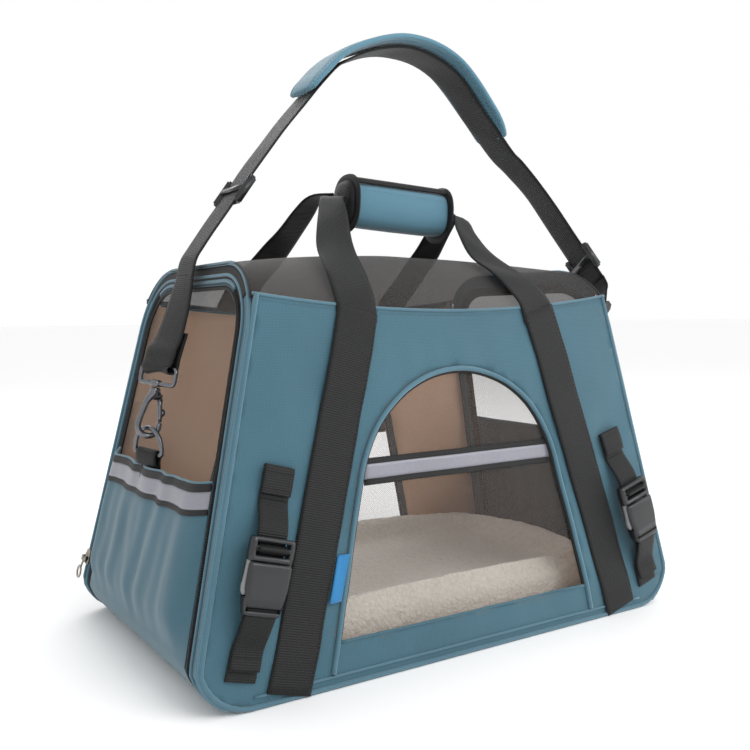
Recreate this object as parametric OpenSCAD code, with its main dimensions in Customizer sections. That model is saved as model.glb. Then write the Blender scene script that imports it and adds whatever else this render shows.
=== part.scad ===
// Soft-sided pet transport carrier: a tapered fabric bag with two zipped end doors, mesh windows,
// a mesh crown, a wrapped hand grip, a padded shoulder strap and four belt buckles.
// The origin is on the floor under the middle of the bag. +X runs along the bag, the front faces -Y.

/* [Body] */
// Length of the bag where its end planes meet the floor
base_l = 483; // [460:1:500]
// Width of the bag at the floor
base_w = 280; // [270:1:290]
// Height of the arched ends
arch_h = 308; // [300:1:312]
// Height of the crown at mid length
crown_h = 320; // [314:1:322]
// Inward lean of the ends from upright, in degrees
end_lean = 12.9; // [12:0.1:14]
// Inward run of the long sides for each millimetre of height
side_run = 0.1; // [0.09:0.01:0.11]
// Radius of the lower corners, seen from the front
corner_r = 40; // [36:1:44]
// Radius of the arch shoulders, seen from the end
arch_r = 58; // [52:1:62]
// Thickness of the padded walls
wall_t = 3; // [2:0.5:4]

/* [Windows] */
// Radius of the window's round top
window_r = 101.5; // [90:0.5:106]
// Height of the centre of the round top
window_z = 124; // [110:1:130]
// Width of the dark piping round the window
window_bind = 7; // [4:1:10]
// Height of the hem under the window
window_hem = 32; // [28:1:40]

/* [Doors] */
// Width of the fabric margin between the long sides and the zip
margin_w = 11; // [9:1:13]
// Width of the zip tape
zip_w = 4; // [3:0.5:5]
// Width of the trim round each door
trim_w = 9; // [6:1:12]
// Height of the top of the end pockets
pocket_z = 152; // [145:1:158]
// How far the end pockets stand out
pocket_deep = 13; // [11:1:14]

/* [Webbing] */
// Width of the handle and shoulder webbing
web_w = 38; // [30:1:40]
// Thickness of all webbing
web_t = 2; // [1.5:0.5:2]
// Width of the belt webbing
belt_w = 25; // [20:1:26]
// Gap behind the front belt buckles, from panel to buckle centre
front_bow = 14; // [13:1:16]
// Gap behind the back belt buckles, from panel to buckle centre
back_bow = 24; // [20:1:26]

/* [Handle] */
// Length of the padded grip
grip_l = 108; // [100:1:112]
// Height of the padded grip
grip_h = 44; // [40:1:46]
// Depth of the padded grip
grip_d = 38; // [34:1:40]
// Width of the shoulder pad
pad_w = 54; // [48:1:60]

/* [Hidden] */

$fn = 48;
big = 700;                                  // longer than the bag, for cutting shapes
gap = 0.5;                                  // running gap between doors and bag
cloth = "#4f7588";
black = "#26272a";
mesh_grey = "#4b4644";
tan_lining = "#c9a68d";
silver = "#b9b8c2";
plastic = "#2b2c2e";
metal = "#5b5d60";
fleece = "#e9e4dc";

end_run = tan(end_lean);                    // inward run of the ends for each mm of height
end_q = sqrt(1 + end_run * end_run);        // horizontal run of one mm of end wall
side_q = sqrt(1 + side_run * side_run);
side_lean = atan(side_run);
corner_x = base_l / 2 - end_run * corner_r - corner_r * end_q;
arch_z = arch_h - arch_r;
arch_y = base_w / 2 - side_run * arch_z - arch_r * side_q;
hinge_a = 45;                               // where the doors start, round the lower corner
zip_d = wall_t + margin_w;                  // distance of the zip in from the long sides
door_d = zip_d + zip_w + gap;               // distance of the door edge in from the long sides
mesh_top = 2;                               // thickness of the crown mesh
seam_x = 176;                               // half length of the top seam
seam_end_z = 284;                           // height of the seam at the ends
seam_mid_z = 271;                           // and at mid length
seam_r = (seam_x * seam_x + pow(seam_end_z - seam_mid_z, 2)) / (2 * (seam_end_z - seam_mid_z));
dome_r = (seam_x * seam_x + pow(crown_h - arch_h, 2)) / (2 * (crown_h - arch_h));
roof_r = 120;                               // radius of the crown's shoulders, seen from the end
roof_y = leg_y(seam_mid_z) - sqrt(pow(roof_r, 2) - pow(crown_h - roof_r - seam_mid_z, 2));

ring_s = 163;                               // D-ring bar, up the slope of the door
ring_n = 8.5;                               // and out from the door
ring_w = 32;                                // centre-to-centre width of the ring
ring_wire = 2;                              // radius of its wire
ring_turn = 20;                             // ring and eye are turned this far to the front
hook_s = 184.2;                             // centre of the hook's bow, up the slope
hook_n = 13;                                // and out from the door
hook_turn = -10;                            // the hook's own plane
hook_r = 8;                                 // bow radius, to the middle of the rod
hook_rod = 2.4;                             // radius of the rod
gate_top = 22;                              // gate pivot, above the bow's centre
slider_z = 54;                              // where the zip sliders rest

belt_low = [-202, 22];                      // lower sewn end of a left belt, x and height
belt_top = [-164, 160];                     // upper sewn end
belt_mid = (belt_low + belt_top) / 2;
belt_a = atan((belt_top.x - belt_low.x) / (belt_top.y - belt_low.y));
belt_half = norm(belt_top - belt_low) / 2;
buckle_h = 52;                              // both halves together
strap_tail = 20;                            // sewn length at each end of a belt

run_low = [-166, 5];                        // ends of a left run of handle webbing, x and height
run_top = [-90, 271];
grip_c = [21, 0, 363];                      // middle of the grip
grip_tilt = 3;

// Webbing routes: x, y, z and how far the width turns from +Y, in degrees
left_leg = [[-200, 0, 232, -20], [-194, 0, 252, -18], [-186, 0, 276, -10], [-180.2, 0, 299, 0]];
right_leg = [[203.7, 2.4, 234.9, -1], [210.8, -11.6, 240.7, 32.4], [210, -44.3, 251.8, 94.6],
             [210.8, -61.7, 260.7, 70.3], [214.7, -79.4, 275.1, 73.5], [211.1, -75, 287, 18],
             [208.7, -71.2, 293.6, 12]];
left_rise = [[-180, 0, 300, 0], [-177, 0, 312, 0], [-170, 0, 323, 0], [-75, 0, 453, 0]];
right_rise = [[208, -70, 296, 12], [178, -20, 384, 12], [163, -6, 410, 6], [149, 0, 425, 0],
              [141, 0, 434, 0]];
pad_route = [[-72.6, 0, 456.3, 0], [-63, 0, 469, 0], [-34, 0, 494, 0], [22, 0, 512, 0],
             [77, 0, 501, 0], [122, 0, 460, 0], [138.6, 0, 437, 0]];
front_loop_left = [[-92, -116, 272, -90], [-89, -103, 290, -90], [-85, -88, 304, -88],
                   [-77, -60, 324, -85], [-63, -31, 351, -75], [-55, -14, 365, -65]];
front_loop_right = [[88, -116, 272, 90], [84, -103, 290, 90], [80, -88, 301, 88],
                    [78, -60, 318, 85], [88, -32, 341, 78], [99, -14, 355, 68]];
back_loop_left = [[-92, 116, 272, 90], [-84, 104, 292, 90], [-74, 90, 309, 85],
                  [-60, 62, 338, 80], [-56, 31, 361, 75], [-55, 13, 371, 65]];
back_loop_right = [[88, 116, 272, -90], [95, 104, 291, -90], [100, 88, 305, -88],
                   [99, 58, 327, -85], [98, 30, 349, -75], [98, 13, 361, -65]];
adjust_left = 57;                           // left adjuster's place, up its straight stretch
adjust_right = 23.5;                        // right adjuster's place, up its straight stretch

// ---- outlines ----

function arc(c, r, a0, a1, steps) =
    [for (i = [0 : steps]) let (a = a0 + (a1 - a0) * i / steps) c + r * [cos(a), sin(a)]];
function flip(pts) = [for (i = [len(pts) - 1 : -1 : 0]) [-pts[i].x, pts[i].y]];
function end_x(z, d = 0) = base_l / 2 - end_run * z - d * end_q;
function leg_y(z, d = 0) = base_w / 2 - side_run * z - d * side_q;

// The bag seen from the front, d inside its surface
function side_half(d) = concat(arc([corner_x, corner_r], corner_r - d, -90, end_lean, 10),
                               [[end_x(360, d), 360]]);
module side_outline(d) {
    half = side_half(d);
    polygon(concat(half, flip(half)));
}

// The bag seen from one end, d inside its surface, with its top at height h
function arch_half(d, h) = concat([[leg_y(-20, d), -20]],
    arc([arch_y, h - arch_r], arch_r - d, side_lean, 90, 8));
module arch_outline(d, h = arch_h) {
    half = arch_half(d, h);
    polygon(concat(half, flip(half)));
}

// The window, d inside its piping
window_slope = 13.3;
function window_half(d, low) = let (r = window_r - d) concat(
    [[(r - (low - window_z) * sin(window_slope)) / cos(window_slope), low]],
    arc([0, window_z], r, window_slope, 90, 12));
module window_outline(d, low) {
    half = window_half(d, low);
    polygon(concat(half, flip(half)));
}

module rounded(w, h, r) {
    square([w - 2 * r, h], center = true);
    square([w, h - 2 * r], center = true);
    for (x = [-1, 1], y = [-1, 1]) translate([x * (w / 2 - r), y * (h / 2 - r)]) circle(r);
}

// ---- extrusions and frames ----

// An outline in x and z, drawn along Y from y0 to y1
module along_y(y0, y1) translate([0, y1, 0]) rotate([90, 0, 0]) linear_extrude(y1 - y0) children();
// An outline in y and z, drawn along X
module along_x(x0, x1) translate([x0, 0, 0]) rotate([90, 0, 90]) linear_extrude(x1 - x0) children();
module full_y() along_y(-big / 2, big / 2) children();
module full_x() along_x(-big / 2, big / 2) children();

// Mirrors a left-hand or front piece to the right or the back
module to_side(right) mirror([right ? 1 : 0, 0, 0]) children();
module to_back(back) mirror([0, back ? 1 : 0, 0]) children();

// Local frame on the left end: +Z up the slope, -X outward, origin at the sharp lower edge
module on_end() translate([-base_l / 2, 0, 0]) rotate([0, end_lean, 0]) children();
// Local frame on the front panel: +Z up the slope, -Y outward
module on_front() translate([0, -base_w / 2, 0]) rotate([-side_lean, 0, 0]) children();
// Local frame of a left front belt buckle, bowed out from the panel
module on_belt(bow) on_front() translate([belt_mid.x, -bow, belt_mid.y])
    rotate([0, belt_a, 0]) children();

// A slab between depths d0 and d1 under the front panel's face
module front_slab(d0, d1) full_x() polygon([
    [-leg_y(0, d0), 0], [-leg_y(330, d0), 330], [-leg_y(330, d1), 330], [-leg_y(0, d1), 0]]);

// Space above the curved top seam
module above_seam() full_y() translate([0, seam_mid_z + seam_r]) circle(seam_r, $fn = 360);

// ---- webbing ----

function spot(r, i) = [r[i].x, r[i].y, r[i].z];
function unit(v) = v / norm(v);
function heading(r, i) = unit(spot(r, min(i + 1, len(r) - 1)) - spot(r, max(i - 1, 0)));
function across(r, i) = let (t = heading(r, i), w = [sin(r[i][3]), cos(r[i][3]), 0])
    unit(w - (w * t) * t);
// A smooth curve through the stations, n steps between neighbours
function smooth(r, n) = concat([for (i = [0 : len(r) - 2], k = [0 : n - 1])
    let (a = r[max(i - 1, 0)], b = r[i], c = r[i + 1], d = r[min(i + 2, len(r) - 1)], u = k / n)
    (2 * b + (c - a) * u + (2 * a - 5 * b + 4 * c - d) * u * u
     + (3 * b - a - 3 * c + d) * u * u * u) / 2], [r[len(r) - 1]]);

// Flat webbing swept along a route; taper narrows its two ends
module webbing(r, w, t, taper = 0) {
    n = len(r);
    pts = [for (i = [0 : n - 1]) let (
        h = w / 2 * (1 - taper * pow(abs(2 * i / (n - 1) - 1), 4)),
        c = spot(r, i), s = across(r, i) * h, u = cross(heading(r, i), across(r, i)) * t / 2)
        each [c - s - u, c + s - u, c + s + u, c - s + u]];
    sides = [for (i = [0 : n - 2], k = [0 : 3]) let (
        a = 4 * i + k, b = 4 * i + (k + 1) % 4, c = b + 4, d = a + 4) each [[a, d, c], [a, c, b]]];
    ends = [[0, 1, 2], [0, 2, 3], [4 * n - 2, 4 * n - 3, 4 * n - 4], [4 * n - 1, 4 * n - 2, 4 * n - 4]];
    polyhedron(pts, concat(ends, sides));
}

// ---- bag shell ----

// Strip of the ends and floor between depths d0 and d1
module shell_strip(d0, d1) full_y() difference() {
    side_outline(d0);
    side_outline(d1);
}

// Everything above the hinge lines of the doors, as an outline from the front
module end_zone(clear) {
    foot = [corner_x + corner_r * sin(hinge_a), corner_r - corner_r * cos(hinge_a)];
    for (s = [-1, 1]) polygon([
        [s * corner_x, corner_r], [s * 10, 340], [s * big, 340], [s * big, corner_r],
        [s * (foot.x + corner_r * sin(hinge_a)), foot.y - corner_r * cos(hinge_a)] + [s, 1] * clear,
        [s * corner_x, corner_r] + [s, 1] * clear]);
}

module base_panel() color(cloth) difference() {
    intersection() {
        shell_strip(0, wall_t);
        full_x() arch_outline(wall_t);
    }
    full_y() end_zone(-gap / 2);
}

module panel() difference() {
    intersection() {
        front_slab(0, wall_t);
        full_y() side_outline(0);
    }
    above_seam();
    full_y() window_outline(window_bind / 2, window_hem);
}
module front_panel() color(cloth) panel();
module back_panel() color(cloth) to_back(true) panel();

module lining() difference() {
    intersection() {
        front_slab(wall_t, wall_t + 1);
        full_y() side_outline(wall_t + 0.5);
    }
    above_seam();
    full_y() window_outline(window_bind / 2, window_hem);
}
module front_lining() color(tan_lining) lining();
module back_lining() color(tan_lining) to_back(true) lining();

// The crown's outer form, d inside its surface
module crown_form(d) intersection() {
    full_x() union() {
        for (s = [-1, 1]) translate([s * roof_y, crown_h - roof_r]) circle(roof_r - d, $fn = 180);
        translate([-roof_y, 0]) square([2 * roof_y, crown_h - d]);
    }
    full_y() translate([0, crown_h - dome_r]) circle(dome_r - d, $fn = 360);
}
module top_mesh() color(mesh_grey) intersection() {
    difference() {
        crown_form(0);
        crown_form(mesh_top);
    }
    full_y() side_outline(wall_t);
    above_seam();
}

// One end's ring between insets d0 and d1, set at depths e0 to e1 in the end wall
module end_ring(d0, d1, e0, e1) intersection() {
    shell_strip(e0, e1);
    difference() {
        full_x() arch_outline(d0);
        full_x() arch_outline(d1);
    }
    full_y() end_zone(gap / 2);
}
module end_hoops() color(cloth) for (right = [false, true]) to_side(right) intersection() {
    end_ring(wall_t, zip_d, 0, wall_t);
    translate([-big, -big / 2, 0]) cube([big, big, big]);
}
module zip_tapes() color(black) for (right = [false, true]) to_side(right) intersection() {
    end_ring(zip_d, zip_d + zip_w, 0, wall_t);
    translate([-big, -big / 2, 0]) cube([big, big, big]);
}

// ---- windows ----

module window_mesh() intersection() {
    front_slab(wall_t + 1, wall_t + 2);
    full_y() window_outline(-6, window_hem - 8);
}
module front_window_mesh() color(mesh_grey) window_mesh();
module back_window_mesh() color(mesh_grey) to_back(true) window_mesh();

module window_binding() intersection() {
    front_slab(-1.5, 0);
    full_y() difference() {
        window_outline(0, 8);
        window_outline(window_bind, 0);
    }
}
module front_window_binding() color(black) window_binding();
module back_window_binding() color(black) to_back(true) window_binding();

module reflective_strip() intersection() {
    front_slab(0.5, wall_t);
    full_y() intersection() {
        window_outline(window_bind / 2 + gap, window_hem);
        translate([-150, 141]) square([300, 20]);
    }
}
module front_reflective_strip() color(silver) reflective_strip();
module back_reflective_strip() color(silver) to_back(true) reflective_strip();

// ---- handle ----

// Straight sewn runs of handle webbing, from the bottom seam to the top seam
module handle_runs() for (right = [false, true]) to_side(right) intersection() {
    front_slab(-web_t - 0.1, -0.1);
    full_y() polygon([[run_low.x - web_w / 2, run_low.y], [run_top.x - web_w / 2, run_top.y],
                      [run_top.x + web_w / 2, run_top.y], [run_low.x + web_w / 2, run_low.y]]);
}
module front_handle_straps() color(black) handle_runs();
module back_handle_straps() color(black) to_back(true) handle_runs();

module front_handle_loops() color(black) {
    webbing(smooth(front_loop_left, 4), web_w, web_t);
    webbing(smooth(front_loop_right, 4), web_w, web_t);
}
module back_handle_loops() color(black) {
    webbing(smooth(back_loop_left, 4), web_w, web_t);
    webbing(smooth(back_loop_right, 4), web_w, web_t);
}

module handle_grip() color(cloth) translate(grip_c) rotate([0, grip_tilt, 0])
    along_x(-grip_l / 2, grip_l / 2) rounded(grip_d, grip_h, grip_d / 2 - 2);

// Blank tab beside the left webbing, over the window piping
module side_label() color("#3f9bd6") intersection() {
    front_slab(-2.7, -1.7);
    full_y() polygon([[-133, 52], [-121, 94], [-111, 94], [-122.5, 52]]);
}

// ---- belts and buckles ----

module each_belt() for (back = [false, true], right = [false, true])
    to_back(back) to_side(right) on_belt(back ? back_bow : front_bow) children();

function belt_route(bow) = [[0, bow - 1.3, belt_half, 90], [0, bow - 1.3, belt_half - strap_tail, 90],
    [0, 3, buckle_h / 2 + 6, 90], [0, 0, buckle_h / 2 + 1.2, 90]];
module lower_belt(bow) webbing([for (p = belt_route(bow)) [p.x, p.y, -p.z, p[3]]], belt_w, web_t);
module upper_belt(bow) webbing(belt_route(bow), belt_w, web_t);
module lower_belts() color(black) for (back = [false, true], right = [false, true]) {
    bow = back ? back_bow : front_bow;
    to_back(back) to_side(right) on_belt(bow) lower_belt(bow);
}

socket_w = 34;
socket_t = 12;
socket_l = 35;
prong_x = 13.2;
module socket() difference() {
    translate([0, socket_t / 2, -buckle_h / 2 + socket_l / 2]) rotate([90, 0, 0])
        linear_extrude(socket_t) rounded(socket_w, socket_l, 4);
    // cavity for the plug, open at the top
    translate([-prong_x - 0.4, -3.6, -buckle_h / 2 + 8]) cube([2 * prong_x + 0.8, 7.2, socket_l]);
    // side windows where the prongs show
    for (s = [-1, 1]) translate([s * socket_w / 2, 0, -6]) cube([10, 7.2, 12], center = true);
    // strap slot
    translate([-belt_w / 2 - 0.5, -socket_t, -buckle_h / 2 + 3]) cube([belt_w + 1, 2 * socket_t, 3]);
}
module buckle_sockets() color(plastic) each_belt() socket();

module plug() {
    // ladder frame that the upper belt threads
    difference() {
        translate([0, 4, buckle_h / 2 - 8]) rotate([90, 0, 0]) linear_extrude(8)
            rounded(socket_w, 16, 3);
        translate([-belt_w / 2 - 0.5, -10, buckle_h / 2 - 6]) cube([belt_w + 1, 20, 3]);
        translate([-belt_w / 2 - 0.5, -10, buckle_h / 2 - 12]) cube([belt_w + 1, 20, 3]);
    }
    // two side prongs and a middle guide
    for (s = [-1, 1]) translate([s * (prong_x - 2.2), 0, -2.5]) cube([4.4, 6, 26], center = true);
    translate([0, 0, -3.5]) cube([5, 5, 28], center = true);
}
module front_left_plug() color(plastic) on_belt(front_bow) plug();
module front_right_plug() color(plastic) to_side(true) on_belt(front_bow) plug();
module back_left_plug() color(plastic) to_back(true) on_belt(back_bow) plug();
module back_right_plug() color(plastic) to_back(true) to_side(true) on_belt(back_bow) plug();
module front_left_upper_belt() color(black) on_belt(front_bow) upper_belt(front_bow);
module front_right_upper_belt() color(black) to_side(true) on_belt(front_bow) upper_belt(front_bow);
module back_left_upper_belt() color(black) to_back(true) on_belt(back_bow) upper_belt(back_bow);
module back_right_upper_belt() color(black) to_back(true) to_side(true) on_belt(back_bow)
    upper_belt(back_bow);

// ---- end doors ----

module left_half() intersection() {
    children();
    translate([-big, -big / 2, -1]) cube([big, big, big]);
}

module door_mesh() left_half() intersection() {
    shell_strip(1, 2.5);
    full_x() arch_outline(door_d);
    full_y() end_zone(gap / 2);
}
module left_door_mesh() color(mesh_grey) door_mesh();
module right_door_mesh() color(mesh_grey) to_side(true) door_mesh();

module door_trim() left_half() end_ring(door_d, door_d + trim_w, 0, 1);
module left_door_trim() color(cloth) door_trim();
module right_door_trim() color(cloth) to_side(true) door_trim();

// Pocket front as distances out from the door and up its slope
pocket_s = pocket_z / cos(end_lean);
pocket_line = [[1.2, 54], [pocket_deep - 4, 62], [pocket_deep, 90], [pocket_deep - 0.5, 118],
               [9, pocket_s - 21], [6.5, pocket_s]];
function shifted(pts, d) = [for (p = pts) [p.x + d, p.y]];
module on_end_outline(y0, y1) on_end() rotate([90, 0, 0]) translate([0, 0, -y1])
    linear_extrude(y1 - y0) mirror([1, 0]) children();
module pocket() difference() {
    intersection() {
        on_end_outline(-big / 2, big / 2) polygon(concat([[0.1, 52.5]], pocket_line, [[0.1, pocket_s]]));
        full_x() arch_outline(door_d + trim_w + gap);
    }
    intersection() {
        on_end_outline(-big / 2, big / 2) polygon(concat([[-1, 55]], shifted(pocket_line, -1.5),
            [[5, pocket_s + 1], [-1, pocket_s + 1]]));
        full_x() arch_outline(door_d + trim_w + gap + 1.5);
    }
}
module left_pocket() color(cloth) pocket();
module right_pocket() color(cloth) to_side(true) pocket();

module pocket_strip() intersection() {
    on_end_outline(-big / 2, big / 2) polygon([[9.1, pocket_s - 21], [6.6, pocket_s],
                                               [7.5, pocket_s], [10, pocket_s - 21]]);
    full_x() arch_outline(door_d + trim_w + gap);
}
module left_pocket_strip() color(silver) pocket_strip();
module right_pocket_strip() color(silver) to_side(true) pocket_strip();

// ---- D-ring, hook and gate ----

// Local frame at the ring's bar, turned to the front, with +Z upright
module on_ring() on_end() translate([-ring_n, 0, ring_s]) rotate([0, 0, ring_turn]) children();
// Local frame at the centre of the hook's bow, +Z up the slope
module on_hook(turn) on_end() translate([-hook_n, 0, hook_s]) rotate([0, 0, turn]) children();

module rod_between(a, b, r) {
    v = b - a;
    translate(a) rotate([0, atan2(norm([v.x, v.y]), v.z), atan2(v.y, v.x)]) cylinder(norm(v), r, r);
}

tab_w = 26;
module ring_tab() {
    on_ring() difference() {
        union() {
            rotate([90, 0, 0]) cylinder(tab_w, 3.6, 3.6, center = true);
            translate([-1.5, -tab_w / 2, -6]) cube([3, tab_w, 6]);
        }
        rotate([90, 0, 0]) cylinder(tab_w + 2, ring_wire + 0.1, ring_wire + 0.1, center = true);
    }
    on_end() translate([-2.4, -tab_w / 2, pocket_s - 20]) cube([2.3, tab_w, 20.5]);
    on_end() translate([-ring_n - 1, -tab_w / 2 + 2, pocket_s + 0.6]) cube([ring_n + 0.9, tab_w - 4, 2.4]);
}
module left_ring_tab() color(black) ring_tab();
module right_ring_tab() color(black) to_side(true) ring_tab();

ring_leg = 3.5;
module d_ring() on_ring() rotate([0, -end_lean, 0]) {
    rotate([90, 0, 0]) cylinder(ring_w, ring_wire, ring_wire, center = true);
    for (s = [-1, 1]) translate([0, s * ring_w / 2, 0]) {
        cylinder(ring_leg, ring_wire, ring_wire);
        sphere(ring_wire);
    }
    translate([0, 0, ring_leg]) rotate([90, 0, 90]) rotate_extrude(angle = 180)
        translate([ring_w / 2, 0]) circle(ring_wire);
}
module left_d_ring() color(metal) d_ring();
module right_d_ring() color(metal) to_side(true) d_ring();

// Hook: bow, nose, spine and swivel post
post_z = 27;
module hook() on_hook(hook_turn) {
    rotate([90, 0, 0]) rotate_extrude(angle = -180) translate([hook_r, 0]) circle(hook_rod);
    translate([hook_r, 0, 0]) cylinder(3.5, hook_rod, hook_rod);
    translate([-hook_r, 0, 0]) sphere(hook_rod);
    rod_between([-hook_r, 0, 0], [-4, 0, post_z - 4], hook_rod);
    difference() {
        translate([0, 0, post_z - 3]) cube([13, 2 * hook_rod, 8], center = true);
        translate([5, 0, gate_top]) rotate([90, 0, 0]) cylinder(20, 3, 3, center = true);
    }
    translate([0, 0, post_z]) cylinder(3.6, 3, 3);
}
module left_hook() color(metal) hook();
module right_hook() color(metal) to_side(true) hook();

// Spring gate with its thumb lever
module gate() on_hook(hook_turn) {
    rod_between([hook_r, 0, 4.2], [5.6, 0, gate_top - 1], 1.7);
    translate([5, 0, gate_top]) rotate([90, 0, 0]) cylinder(4, 2.6, 2.6, center = true);
    translate([8.2, 0, 12]) rotate([0, -8, 0]) cube([4, 3, 5], center = true);
}
module left_gate() color(metal) gate();
module right_gate() color(metal) to_side(true) gate();

// Eye that the webbing threads, turning on the hook's post
eye_w = 41;
eye_h = 13;
eye_z = post_z + 4;
module hook_eye() on_hook(ring_turn) {
    difference() {
        translate([0, 0, eye_z]) cylinder(5, 4.4, 4.4);
        translate([0, 0, eye_z - 1]) cylinder(1.2, 3.1, 3.1);
    }
    for (z = [2.5, 2.5 + eye_h]) translate([0, 0, eye_z + z]) rotate([90, 0, 0])
        cylinder(eye_w, 1.8, 1.8, center = true);
    for (s = [-1, 1]) translate([0, s * eye_w / 2, eye_z + 2.5]) {
        cylinder(eye_h, 1.8, 1.8);
        for (z = [0, eye_h]) translate([0, 0, z]) sphere(1.8);
    }
}
module left_hook_eye() color(metal) hook_eye();
module right_hook_eye() color(metal) to_side(true) hook_eye();

// ---- zip sliders ----

slider_s = slider_z / cos(end_lean);
slider_y = leg_y(slider_z, zip_d);
module on_slider() on_end() translate([0, slider_y, slider_s]) rotate([atan(side_run * cos(end_lean)), 0, 0])
    children();
pull_skew = 24;                             // the pull hangs askew, clear of the door
module zip_slider() on_slider() {
    translate([-3.2, -3.9, -7]) cube([2.8, 7.8, 14]);
    for (s = [-1, 1]) translate([-6.4, s * 3.2 - 0.7, -4]) cube([3.4, 1.4, 5]);
}
module left_zip_slider() color(metal) zip_slider();
module right_zip_slider() color(metal) to_side(true) zip_slider();
module zip_pull() on_slider() translate([-5, 0, -2]) rotate([pull_skew, 0, 0]) {
    rotate([90, 0, 0]) cylinder(2.6, 1.2, 1.2, center = true);
    translate([-0.8, -1.1, -10]) cube([1.6, 2.2, 10]);
    difference() {
        translate([0, 0, -15]) rotate([0, 90, 0]) cylinder(1.6, 6, 6, center = true);
        translate([0, 0, -15]) rotate([0, 90, 0]) cylinder(3, 3.8, 3.8, center = true);
    }
}
module left_zip_pull() color(metal) zip_pull();
module right_zip_pull() color(metal) to_side(true) zip_pull();

// ---- shoulder strap ----

module left_strap_leg() color(black) webbing(smooth(left_leg, 4), web_w, web_t);
module right_strap_leg() color(black) webbing(smooth(right_leg, 4), web_w, web_t);
module shoulder_webbing() color(black) {
    webbing(left_rise, web_w, web_t);
    webbing(right_rise, web_w, web_t);
}
module shoulder_pad() color(cloth) webbing(smooth(pad_route, 6), pad_w, 8, 0.25);

// Places an adjuster on the straight stretch that starts at station i, dist along it
module on_stretch(r, i, dist) {
    t = unit(spot(r, i + 1) - spot(r, i));
    w0 = [sin(r[i][3]), cos(r[i][3]), 0];
    w = unit(w0 - (w0 * t) * t);
    u = cross(t, w);
    p = spot(r, i) + t * dist;
    multmatrix([[w.x, u.x, t.x, p.x], [w.y, u.y, t.y, p.y], [w.z, u.z, t.z, p.z], [0, 0, 0, 1]])
        children();
}
rail_x = web_w / 2 + 0.6;
module adjuster() {
    for (s = [-1, 1]) translate([s * (rail_x + 1.8), 0, 0]) cube([3.6, 7, 26], center = true);
    // end bars under the webbing and a middle bar over it
    for (z = [-11.2, 11.2]) translate([0, -2.5, z]) cube([2 * rail_x + 0.2, 2, 3.6], center = true);
    translate([0, 2.5, 0]) cube([2 * rail_x + 0.2, 2, 5], center = true);
}
module left_adjuster() color(plastic) on_stretch(left_rise, 2, adjust_left) adjuster();
module right_adjuster() color(plastic) on_stretch(right_rise, 0, adjust_right) adjuster();

// ---- bed ----

bed_l = 396;
bed_w = 242;
module fleece_bed() color(fleece) difference() {
    translate([0, 0, 7]) linear_extrude(45) rounded(bed_l, bed_w, 30);
    translate([0, -6, 30]) linear_extrude(30) rounded(bed_l - 56, bed_w - 44, 24);
}
module bed_board() color("#8b8782") translate([0, 0, wall_t + 0.5]) linear_extrude(3)
    rounded(370, 236, 20);

base_panel();
front_panel();
back_panel();
front_lining();
back_lining();
top_mesh();
end_hoops();
zip_tapes();
front_window_mesh();
back_window_mesh();
front_window_binding();
back_window_binding();
front_reflective_strip();
back_reflective_strip();
front_handle_straps();
back_handle_straps();
front_handle_loops();
back_handle_loops();
handle_grip();
side_label();
lower_belts();
buckle_sockets();
front_left_upper_belt();
front_right_upper_belt();
back_left_upper_belt();
back_right_upper_belt();
front_left_plug();
front_right_plug();
back_left_plug();
back_right_plug();
left_door_mesh();
left_door_trim();
left_pocket();
left_pocket_strip();
left_ring_tab();
left_d_ring();
left_hook_eye();
left_hook();
left_gate();
left_zip_slider();
left_zip_pull();
right_door_mesh();
right_door_trim();
right_pocket();
right_pocket_strip();
right_ring_tab();
right_d_ring();
right_hook_eye();
right_hook();
right_gate();
right_zip_slider();
right_zip_pull();
left_strap_leg();
right_strap_leg();
shoulder_webbing();
shoulder_pad();
left_adjuster();
right_adjuster();
fleece_bed();
bed_board();
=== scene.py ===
import math

import bpy
import bmesh
from mathutils import Matrix, Vector, noise
from mathutils.geometry import delaunay_2d_cdt


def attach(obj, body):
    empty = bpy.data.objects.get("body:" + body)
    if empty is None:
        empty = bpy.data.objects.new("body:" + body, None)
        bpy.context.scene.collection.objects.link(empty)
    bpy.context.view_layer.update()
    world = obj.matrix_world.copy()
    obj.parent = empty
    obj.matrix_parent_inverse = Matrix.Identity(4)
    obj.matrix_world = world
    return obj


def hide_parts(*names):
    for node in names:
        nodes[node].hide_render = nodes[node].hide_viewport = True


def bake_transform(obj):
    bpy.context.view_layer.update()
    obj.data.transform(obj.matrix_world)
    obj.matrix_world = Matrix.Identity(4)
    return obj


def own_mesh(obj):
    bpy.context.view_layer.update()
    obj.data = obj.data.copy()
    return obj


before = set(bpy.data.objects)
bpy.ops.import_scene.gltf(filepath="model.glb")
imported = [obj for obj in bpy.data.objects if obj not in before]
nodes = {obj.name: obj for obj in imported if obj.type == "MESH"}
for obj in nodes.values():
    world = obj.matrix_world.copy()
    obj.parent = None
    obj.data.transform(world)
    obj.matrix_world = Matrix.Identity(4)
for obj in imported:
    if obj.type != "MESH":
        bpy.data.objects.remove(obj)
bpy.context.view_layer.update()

mm = 0.001

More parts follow.
